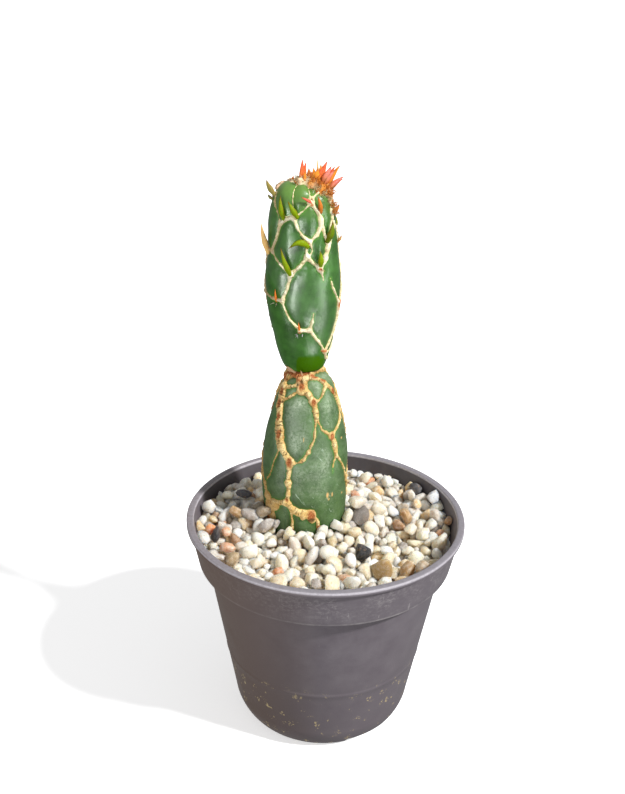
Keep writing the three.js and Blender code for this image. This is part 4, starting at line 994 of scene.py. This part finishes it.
def pot_profile():
    """The pot's outline as (radius, height) from under the floor, up the outside, over the lip and down the
    inside. The foot corner is a superellipse, between a chamfer and a round."""
    a = (np.pi / 2) * (1 - np.arange(1, CORNER_STEPS + 1) / CORNER_STEPS)
    corner = np.stack([FOOT_R + (BODY_LOW_R - FOOT_R) * np.cos(a)**CORNER_POWER,
                       BODY_LOW_Z * (1 - np.sin(a)**CORNER_POWER)], axis=-1)

    def up(start, end, count):
        """The points between start and end that cut the way into that many equal steps."""
        return np.linspace(start, end, count + 1)[1:-1]

    body = up((BODY_LOW_R, BODY_LOW_Z), (BODY_TOP_R, BODY_TOP_Z), 24)
    line_r = np.interp(MOULD_LINE_Z, [BODY_LOW_Z, BODY_TOP_Z], [BODY_LOW_R, BODY_TOP_R])
    line = [(line_r + out, MOULD_LINE_Z + rise)
            for out, rise in ((0, -1), (0.015, -0.3), (0.015, 0), (0, 0.3))]
    below, above = body[:, 1] < MOULD_LINE_Z - 1.2, body[:, 1] > MOULD_LINE_Z + 0.4
    body = np.concatenate([body[below], line, body[above]])
    collar = up((COLLAR_BOTTOM_R, COLLAR_BOTTOM_Z), (COLLAR_TOP_R, LIP_Z), 8)
    q = np.linspace(0, np.pi / 2, 5)
    inner_r = COLLAR_TOP_R - WALL
    lip_outer = np.stack([RIM_R - LIP_ROUND + LIP_ROUND * np.cos(q),
                          POT_H - LIP_ROUND + LIP_ROUND * np.sin(q)], axis=-1)
    lip_inner = np.stack([inner_r + LIP_ROUND - LIP_ROUND * np.sin(q),
                          POT_H - LIP_ROUND + LIP_ROUND * np.cos(q)], axis=-1)
    parts = [
        [(0.001, FOOT_H), (FOOT_R - FOOT_WIDTH - 1, FOOT_H), (FOOT_R - FOOT_WIDTH, 0.4),
         (FOOT_R - FOOT_WIDTH + 0.4, 0), (FOOT_R - 0.6, 0), (FOOT_R - 0.1, 0.25)],
        corner, body,
        [(BODY_TOP_R, BODY_TOP_Z), (BODY_TOP_R + 0.5, BODY_TOP_Z + 0.7),
         (COLLAR_BOTTOM_R - LIP_ROUND, COLLAR_BOTTOM_Z - 0.25),
         (COLLAR_BOTTOM_R - 0.1, COLLAR_BOTTOM_Z - 0.05), (COLLAR_BOTTOM_R + 0.03, COLLAR_BOTTOM_Z + 0.25)],
        collar,
        [(COLLAR_TOP_R, LIP_Z), (COLLAR_TOP_R + 0.25, LIP_Z + 0.05), (RIM_R - 0.15, LIP_Z + 0.15),
         (RIM_R, LIP_Z + 0.35)],
        lip_outer, lip_inner,
        up((inner_r, POT_H - LIP_ROUND), (COLLAR_BOTTOM_R - WALL, COLLAR_BOTTOM_Z + WALL), 6),
        [(COLLAR_BOTTOM_R - WALL, COLLAR_BOTTOM_Z + WALL), (BODY_TOP_R - WALL, BODY_TOP_Z + WALL)],
        up((BODY_TOP_R - WALL, BODY_TOP_Z + WALL), (BODY_LOW_R - WALL, BODY_LOW_Z + 0.5 * WALL), 8),
        [(BODY_LOW_R - WALL, BODY_LOW_Z + 0.5 * WALL),
         (BODY_LOW_R - FLOOR_CORNER, FLOOR_TOP_Z + 0.75 * FLOOR_CORNER),
         (FOOT_R - 1, FLOOR_TOP_Z), (0.001, FLOOR_TOP_Z)],
    ]
    return np.concatenate([np.asarray(p, float) for p in parts])


def drain_rods():
    """Rods in a ring, from below the pot to above its floor, that cut the drain holes."""
    ring, places = (np.stack([np.cos(circle(count)), np.sin(circle(count))], axis=-1)
                    for count in (DRAIN_SIDES, DRAIN_COUNT))
    flat = DRAIN_RING * places[:, None, None] + DRAIN_R * ring
    heights = np.array([-1, 2 * FLOOR_TOP_Z])[:, None, None]
    tubes = np.concatenate([np.repeat(flat, 2, axis=1),
                            np.broadcast_to(heights, (DRAIN_COUNT, 2, DRAIN_SIDES, 1))], axis=-1)
    points, faces, _ = awl_mesh(tubes, np.zeros((DRAIN_COUNT, 2)), np.zeros((DRAIN_COUNT, 1)))
    mesh = bpy.data.meshes.new("drains")
    mesh.from_pydata((points * MM).tolist(), [], [f for part in faces for f in part.tolist()])
    return new_object("drains", mesh)


def make_pot(material):
    """The outline turned about Z. Over each notch's width the lowest points are lifted to the notch's height,
    which grows by its slope outside the foot. The drain holes are cut from it afterwards."""
    profile = pot_profile()
    a = circle(POT_SEGMENTS)
    r, z = profile[:, None, 0], profile[:, None, 1]
    turn = np.degrees(a)[None]
    off = np.abs((turn - NOTCH_FIRST_DEG + 180 / NOTCH_COUNT) % (360 / NOTCH_COUNT) - 180 / NOTCH_COUNT)
    notch = fade(NOTCH_WIDTH_DEG / 2 + 0.7, NOTCH_WIDTH_DEG / 2 - 0.7, off)
    notch = notch * (NOTCH_HEIGHT + NOTCH_SLOPE * np.maximum(r - FOOT_R, 0))
    outer = np.arange(len(profile))[:, None] < len(profile) // 2
    height = np.where(outer & (z < notch), notch, z)
    points = np.stack([r * np.sin(a), -r * np.cos(a), height], axis=-1)
    rings = len(profile)
    ends = np.array([[0, 0, FOOT_H], [0, 0, FLOOR_TOP_Z]])
    faces = [ring_faces(rings, POT_SEGMENTS), cap_faces(rings, POT_SEGMENTS)]
    pot = make_piece("nursery_pot", np.concatenate([points.reshape(-1, 3), ends]), faces, material,
                     node="pot")
    cutter = drain_rods()
    cut = pot.modifiers.new("drains", "BOOLEAN")
    cut.operation = "DIFFERENCE"
    cut.solver = "EXACT"
    cut.object = cutter
    finished = bpy.data.meshes.new_from_object(pot.evaluated_get(bpy.context.evaluated_depsgraph_get()))
    pot.modifiers.clear()
    pot.data = finished
    pot.data.shade_smooth()
    pot.data.set_sharp_from_angle(angle=math.radians(POT_CREASE_DEG))
    bpy.data.objects.remove(cutter)


# Gravel

def icosphere():
    """The 42 corners and 80 faces of a once-divided icosahedron of radius 1."""
    g = (1 + 5**0.5) / 2
    corners = unit(np.array([p for a, b in product((-1, 1), (-g, g))
                             for p in ((0, a, b), (a, b, 0), (b, 0, a))]))
    distance = np.linalg.norm(corners[:, None] - corners[None], axis=-1)
    close = distance < 1.1
    triangles = [(i, j, k) for i in range(12) for j in range(i + 1, 12) for k in range(j + 1, 12)
                 if close[i, j] and close[j, k] and close[i, k]]
    points = list(corners)
    middles = {}
    faces = []

    def middle(i, j):
        """The number of the point on the sphere halfway between corners i and j, made once for each edge."""
        key = (min(i, j), max(i, j))
        if key not in middles:
            middles[key] = len(points)
            points.append(unit(points[i] + points[j]))
        return middles[key]

    for i, j, k in triangles:
        a, b, c = middle(i, j), middle(j, k), middle(k, i)
        faces += [(i, a, c), (j, b, a), (k, c, b), (a, b, c)]
    points, faces = np.array(points), np.array(faces)
    way = np.einsum("ij,ij->i", np.cross(points[faces[:, 1]] - points[faces[:, 0]],
                                         points[faces[:, 2]] - points[faces[:, 0]]), points[faces[:, 0]])
    faces[way < 0] = faces[way < 0][:, ::-1]
    return points, faces


def keep_inside(points, wall):
    """Moves points straight in towards the pot's axis, to stand no further out than wall."""
    out = np.hypot(points[..., 0], points[..., 1])
    points[..., :2] *= np.minimum(1, wall / np.maximum(out, 1e-6))[..., None]


def keep_off(points, middle, radii):
    """Moves points straight out from middle, to stand outside the ellipse of those two radii."""
    away = points[..., :2] - middle
    grow = np.maximum(1, 1 / np.maximum(np.linalg.norm(away / radii, axis=-1), 1e-6))
    points[..., :2] = middle + away * grow[..., None]


def settle(rng):
    """Places and radii of stones poured into the pot. Each step lets every stone sink a little, then pushes
    overlapping pairs apart, and back inside the wall, up off the mix and off the pad. The landmark stones
    start on top and keep to their own spot. At the end the bed is raised where the photograph has it higher:
    towards the back and the left, in a mound at the plant and along the rim."""
    radius = np.clip(STONE_R * np.exp(STONE_R_SPREAD * rng.normal(size=STONE_COUNT)), *STONE_R_RANGE)
    angle = rng.uniform(0, 2 * np.pi, STONE_COUNT)
    out = POUR_R * np.sqrt(rng.uniform(0, 1, STONE_COUNT))
    place = np.stack([out * np.cos(angle), out * np.sin(angle), rng.uniform(*POUR_Z, STONE_COUNT)], axis=-1)
    marked = len(LANDMARKS)
    spot = np.array([mark[:2] for mark in LANDMARKS], float)
    radius[:marked] = [mark[2] for mark in LANDMARKS]
    place[:marked, 2] = LANDMARK_Z
    apart = 1 - np.eye(STONE_COUNT)
    pad_middle = np.array([BED_MIDDLE_X, PLANT_Y])
    for _ in range(SETTLE_STEPS):
        place[:, 2] -= SINK
        place[:marked, :2] = spot
        away = place[:, None] - place[None]
        gap = np.sqrt(np.einsum("ijk,ijk->ij", away, away)) + 1 - apart
        reach = SQUEEZE * (radius[:, None] + radius[None])
        push = np.maximum(reach - gap, 0) * apart / gap
        place += PUSH * np.einsum("ij,ijk->ik", push, away)
        wall = COLLAR_BOTTOM_R - WALL + (place[:, 2] - COLLAR_BOTTOM_Z) * BED_WALL_SLOPE
        keep_inside(place, wall - BED_ROOM - radius)
        half = np.interp(place[:, 2], *PAD_IN_BED)
        keep_off(place, pad_middle, np.stack([half, DEPTH * half], axis=-1) + 0.9 * radius[:, None])
        place[:, 2] = np.maximum(place[:, 2], MIX_TOP_Z + BED_ROOM + 0.8 * radius)
    from_pad = (place[:, :2] - pad_middle) / (PAD_IN_BED[1][1] * np.array([1, DEPTH]))
    off_pad = np.maximum(np.linalg.norm(from_pad, axis=1) - 1, 0)
    place[:, 2] += GRAVEL_TILT * place[:, 1] + LEFT_TILT * np.maximum(LEFT_X - place[:, 0], 0)
    place[:, 2] += MOUND * np.exp(-2 * off_pad) * (place[:, 2] - MIX_TOP_Z) / 10
    out = np.hypot(place[:, 0], place[:, 1])
    place[:, 2] += RIM_TILT * np.maximum(out - RIM_TILT_R, 0) * fade(-34, 8, place[:, 1])
    place[:, :2] *= 1 + RIM_SPREAD * fade(34, 44, out)[:, None]
    return place, radius


def between(points):
    """Pushes what would stand in the pot's wall straight in to it, and what would stand in the lower pad
    straight out of it, with the pad taken as an ellipse at each height."""
    wall = np.interp(points[..., 2], [BODY_TOP_Z + WALL, COLLAR_BOTTOM_Z + WALL, POT_H],
                     [BODY_TOP_R - WALL, COLLAR_BOTTOM_R - WALL, COLLAR_TOP_R - WALL])
    keep_inside(points, wall - STONE_ROOM)
    half = spline(LOWER_PAD["profile"], share_at(LOWER_PAD, points[..., 2]))[..., 0] + STONE_ROOM
    middle = np.stack([middle_x(LOWER_PAD, points[..., 2]), np.full(half.shape, PLANT_Y)], axis=-1)
    keep_off(points, middle, np.stack([half, DEPTH * half], axis=-1))


def make_gravel(material):
    """Stones that are spheres flattened by planes: in direction u the radius is the -1/p power of the sum of
    (max(u.n, 0) / d)^p over planes of normal n and distance d, then stretched along three axes."""
    rng = np.random.default_rng(STONE_SEED)
    place, radius = settle(rng)
    shape, faces = icosphere()
    normals = unit(rng.normal(size=(STONE_COUNT, STONE_PLANES, 3)))
    distances = rng.uniform(0.64, 1.05, size=(STONE_COUNT, STONE_PLANES))
    facing = np.maximum(np.einsum("vk,spk->svp", shape, normals), 0) / distances[:, None]
    size = np.minimum(np.sum(facing**STONE_POWER, axis=-1) ** (-1 / STONE_POWER), 1.25)
    size = size / size.mean(axis=1, keepdims=True)
    stretch = np.exp(rng.normal(size=(STONE_COUNT, 3)) * 0.18) * STONE_STRETCH
    axes, _ = np.linalg.qr(rng.normal(size=(STONE_COUNT, 3, 3)))
    axes = axes * np.sign(np.linalg.det(axes))[:, None, None]
    body = shape[None] * size[..., None] * stretch[:, None]
    points = np.einsum("svk,sjk->svj", body, axes) * radius[:, None, None] + place[:, None]
    between(points)
    step = np.arange(STONE_COUNT)[:, None, None] * len(shape)
    weights = np.array([w for _, w in STONE_COLOURS])
    pick = rng.choice(len(STONE_COLOURS), size=STONE_COUNT, p=weights / weights.sum())
    tints = np.array([colour(c) for c, _ in STONE_COLOURS])[pick]
    tints[:, :3] *= rng.uniform(1.04, 1.24, size=(STONE_COUNT, 1)) * STONE_WARMTH
    tints[:len(LANDMARKS)] = [colour(mark[3]) for mark in LANDMARKS]
    tints = np.clip(np.repeat(tints[:, None], len(shape), axis=1), 0, 1)
    tints[..., 3] = 1
    stones = make_piece("gravel_stones", points.reshape(-1, 3), [(faces[None] + step).reshape(-1, 3)],
                        material, {"tint": tints.reshape(-1, 4)}, "gravel")
    stones.data.set_sharp_from_angle(angle=math.radians(STONE_CREASE_DEG))


# Crown

def cushion_points(centre, radii, lean, rings=40, sides=56):
    """An ellipsoid that leans to the right about Y, swollen along its own normal by rough noise."""
    up = np.linspace(-np.pi / 2, np.pi / 2, rings + 2)[1:-1]
    a = circle(sides)
    sphere = np.stack([np.cos(up)[:, None] * np.cos(a), np.cos(up)[:, None] * np.sin(a),
                       np.sin(up)[:, None] + 0 * a], axis=-1).reshape(-1, 3)
    sphere = np.concatenate([sphere, [[0, 0, -1.0], [0, 0, 1.0]]])
    body = sphere * radii
    turn = math.radians(lean)
    around = np.array([[math.cos(turn), 0, math.sin(turn)], [0, 1, 0], [-math.sin(turn), 0, math.cos(turn)]])
    points = body @ around.T + np.array(centre)
    normal = unit(sphere / np.array(radii)) @ around.T
    points = points + normal * (0.45 * rough_noise(points, 1.6, 91))[:, None]
    return points, normal, [ring_faces(rings, sides), cap_faces(rings, sides)]


def wool_tint(points):
    """Brown and rusty wool in the middle of the crown, that turns cream at its left end and down the shoulder
    on the right, and a pinkish tan on the far left."""
    brown, rusty, cream, tan = (np.array(colour(c)) for c in ("#bc6c26", "#f0a04a", "#ffeac0", "#ffd8b4"))
    x, z = points[:, 0], points[:, 2]
    tint = rusty + (brown - rusty) * fade(-0.3, 0.4, rough_noise(points, 1.8, 95))[:, None]
    pale = np.maximum(fade(-8.2, -9.6, x), fade(206.6, 204.6, z) * fade(-1, -3, points[:, 1] - PLANT_Y))
    pale = np.clip(pale + 0.3 * fade(0.1, 0.6, noise(points, 2.2, 99)), 0, 1)
    tint = tint + (cream - tint) * pale[:, None]
    return tint + (tan - tint) * fade(-13.5, -15, x)[:, None]


def make_crown(wool, young):
    """Cushions of wool with hairs standing out of them, tufts at areoles and edges, and young leaves."""
    rng = np.random.default_rng(CROWN_SEED)
    points, faces, hairs, count = [], [], [], 0
    for centre, radii, lean in CROWN_CUSHIONS:
        body, normal, parts = cushion_points(centre, radii, lean)
        points.append(body)
        faces += [f + count for f in parts]
        count += len(body)
        pick = rng.choice(len(body), size=int(HAIRS_PER_AREA * radii[0] * radii[1]), replace=False)
        pick = pick[normal[pick, 2] > -0.6]
        hairs.append((body[pick], unit(normal[pick] + 0.8 * rng.normal(size=(len(pick), 3)) + [0.1, 0, 0.4]),
                      wool_tint(body[pick]) * rng.uniform(0.8, 1.5, size=(len(pick), 1)),
                      rng.uniform(0.8, 2.2, len(pick)) * min(1, radii[2] / 2)))
    for (turn, z), amount, shade, reach, spread in TUFTS:
        root, normal = skin(UPPER_PAD, float(turn), share_at(UPPER_PAD, float(z)))
        hairs.append((root + spread * rng.normal(size=(amount, 3)) * [1, 0.6, 0.7],
                      unit(normal + 0.5 * rng.normal(size=(amount, 3)) + [0, 0, reach]),
                      np.array(colour(shade)) * rng.uniform(0.75, 1.2, size=(amount, 1)),
                      rng.uniform(0.7, 1.6, amount)))
    points = np.concatenate(points)
    make_piece("crown_wool", points, faces, wool, {"tint": np.clip(wool_tint(points), 0, 1)},
               "crown")
    roots, ways, tints, lengths = (np.concatenate(part) for part in zip(*hairs))
    points, faces, painted = awl_mesh(*bristles(roots, ways, lengths, rng), np.clip(tints, 0, 1))
    make_piece("crown_bristles", points, faces, wool, painted)

    points, faces, painted = free_awls(CROWN_LEAVES, LEAF_BOW / 2, [0.15, -1.0, 0.3], 0.5, 0.3)
    foot = 0.75 * fade(0.75, 0.05, painted["share"])[:, None]
    painted["tint"] = painted["tint"] + (np.array(colour(LEAF_FOOT)) - painted["tint"]) * foot
    make_piece("crown_leaves", points, faces, young, painted)
    points, faces, painted = free_awls(WAIST_SCALES, 0, [0, -1.0, 0.3], 0.2, 0.35)
    make_piece("waist_scales", points, faces, young, painted)


def make_leaves(young, spine):
    """One leaf at most areoles of the upper pad, lime to olive, some dry, and a few short orange spines."""
    root, tip, bow, normal = pad_awls(UPPER_PAD, LEAVES, LEAF_BOW)
    bow[ARCHED_LEAF] += [0, 0, ARCH]
    bow[STRAW_LEAF] *= STRAW_BOW
    radii = LEAF_R * np.array([LEAF_WIDTHS.get(i, 1) for i in range(len(root))])
    tints = np.array([colour(LEAF_COLOURS.get(i, LIME)) for i in range(len(root))])
    points, faces, painted = awl_mesh(*awls(root, tip, bow, radii, normal), tints)
    make_piece("pad_leaves", points, faces, young, painted)
    root, tip, bow, normal = pad_awls(UPPER_PAD, SPINES, SPINE_BOW)
    tubes, shares = awls(root, tip, bow, np.full(len(root), SPINE_R), normal, flatness=1.0, wide_at=0.05)
    points, faces, painted = awl_mesh(tubes, shares, np.tile(colour(SPINE_COLOUR), (len(root), 1)))
    make_piece("pad_spines", points, faces, spine, painted)


make_pot(new_material("moulded_polypropylene", nursery_plastic))
make_gravel(new_material("worn_quartz_grit", quartz))
# Each skin is painted lighter towards its top, as painted light from above, and the older skin's whitish wax
# is partly a painted sheen.
pad_pieces(LOWER_PAD, LOWER_NET, LOWER_AREOLES, FLECKS, "lower", {
    "skin": new_material("old_stem_skin", stem_skin, "#294817", "#456533", "#3c7a14", (128, 142, "#6b8458"),
                         0.48, 0.0, 0.9),
    "cork": new_material("old_stem_cork", cork_bark, "#f4dda2", "#dcb974", "#b98848", "#8e4c22", "#584020"),
    "groove": 0.4, "bulge": 0.6, "sink": ((0, 1), (1, 1)), "round": 1.8, "ragged": 0.26, "fresh": 0.0,
    "crack_pitch": 0.95, "crack_width": 0.17, "crack_chance": 0.25,
})
pad_pieces(UPPER_PAD, UPPER_NET, UPPER_AREOLES, [], "upper", {
    "skin": new_material("young_stem_skin", stem_skin, "#244d12", "#3e7029", "#4f8a1e", (198, 209, "#6f9346"),
                         0.33, 0.3, 0.0),
    "cork": new_material("young_stem_cork", cork_bark, "#fff8dc", "#f3e9b6", "#dcbf8c", "#bf6c3c", "#a08a58"),
    "groove": 0.65, "bulge": 1.0, "sink": ((170, 184), (0.25, 1)), "round": 2.6, "ragged": 0.2, "fresh": 1.0,
    "crack_pitch": 1.5, "crack_width": 0.15, "crack_chance": 0.8,
})
make_leaves(new_material("young_leaf", young_tissue, "#6e3a16", 0.55),
            new_material("orange_spine", young_tissue, "#d9682c", 0.4))
make_crown(new_material("areole_wool", felt), new_material("crown_leaf", young_tissue, "#a0562c", 0.5))

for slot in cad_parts["potting_mix"].material_slots:
    slot.material = new_material("damp_peat", peat)

# Floor, light and camera. Places and sizes of the floor and the lights are in metres.
FLOOR_HALF = 20.0
SUN_AT = (0.9, -0.46, 0.98)
SUN_POWER = 4.35
SUN_WIDTH_DEG = 5
SKY_POWER = 0.38
PLANT_MIDDLE = (-0.008, 0.006, 0.13)
UPPER_PAD_MIDDLE = (-0.008, 0.006, 0.165)
WAIST = (-0.006, -0.003, 0.152)
SENSOR_MM = 36

floor_mesh = bpy.data.meshes.new("floor")
floor_corners = [(x * FLOOR_HALF, y * FLOOR_HALF, 0) for x, y in ((-1, -1), (1, -1), (1, 1), (-1, 1))]
floor_mesh.from_pydata(floor_corners, [], [(0, 1, 2, 3)])
floor_mesh.materials.append(new_material("pale_floor", pale_card))
floor = new_object("floor", floor_mesh)
floor.visible_diffuse = False
floor.visible_glossy = False

world = bpy.data.worlds.new("studio")
bpy.context.scene.world = world
world.use_nodes = True
world.node_tree.nodes["Background"].inputs["Color"].default_value = colour("#fdfdff")
world.node_tree.nodes["Background"].inputs["Strength"].default_value = SKY_POWER


def axes_at(right, up, back, place):
    """A transform that stands at place, with its own axes along right, up and back."""
    return Matrix(np.stack([right, up, back, place], axis=1).tolist() + [[0, 0, 0, 1]])


def aim(place, target):
    """A transform that stands at place and looks along -Z at target."""
    back = unit(np.subtract(place, target))
    right = unit(np.cross([0, 0, 1], back))
    return axes_at(right, np.cross(back, right), back, place)


def soft_box(name, place, size, power, target=PLANT_MIDDLE, lights=None):
    """A rectangular light that the camera doesn't see. Where it lights one collection alone, it gives gloss
    and nothing else."""
    light = bpy.data.lights.new(name, "AREA")
    light.shape = "RECTANGLE"
    light.size, light.size_y = size
    light.energy = power
    lamp = new_object(name, light)
    lamp.matrix_world = aim(place, target)
    lamp.visible_camera = False
    lamp.visible_diffuse = lights is None
    lamp.light_linking.receiver_collection = lights


sun = bpy.data.lights.new("sun", "SUN")
sun.energy = SUN_POWER
sun.angle = math.radians(SUN_WIDTH_DEG)
new_object("sun", sun).matrix_world = aim(SUN_AT, (0, 0, 0))
soft_box("front", (-0.32, -0.95, 0.14), (0.6, 0.2), 4.4)

# Reflectors close to the plant, which give its pads their gloss and light nothing else
plant = bpy.data.collections.new("plant")
for key in ("upper_pad_skin", "lower_pad_skin"):
    plant.objects.link(bpy.data.objects[key])
soft_box("window_glint", (-0.155, -0.23, 0.1), (0.07, 0.17), 0.7, UPPER_PAD_MIDDLE, plant)
soft_box("side_glint", (0.235, -0.19, 0.1), (0.12, 0.2), 0.65, UPPER_PAD_MIDDLE, plant)
soft_box("low_glint", (0.052, -0.093, 0.072), (0.08, 0.012), 0.09, WAIST, plant)

pitch, yaw, roll = (math.radians(a) for a in (CAMERA_PITCH, CAMERA_YAW, CAMERA_ROLL))
forward = np.array([math.sin(yaw) * math.cos(pitch), math.cos(yaw) * math.cos(pitch), -math.sin(pitch)])
level = np.array([math.cos(yaw), -math.sin(yaw), 0])
upright = np.cross(level, forward)
lens = bpy.data.cameras.new("camera")
lens.sensor_width = SENSOR_MM
lens.lens = FOCAL_PX * SENSOR_MM / PHOTO_HEIGHT_PX
lens.clip_start = 0.01
lens.clip_end = 100
camera = new_object("camera", lens)
camera.matrix_world = axes_at(math.cos(roll) * level + math.sin(roll) * upright,
                              math.cos(roll) * upright - math.sin(roll) * level, -forward,
                              np.multiply(CAMERA_AT, MM))
bpy.context.scene.camera = camera
bpy.context.scene.view_settings.view_transform = "Standard"
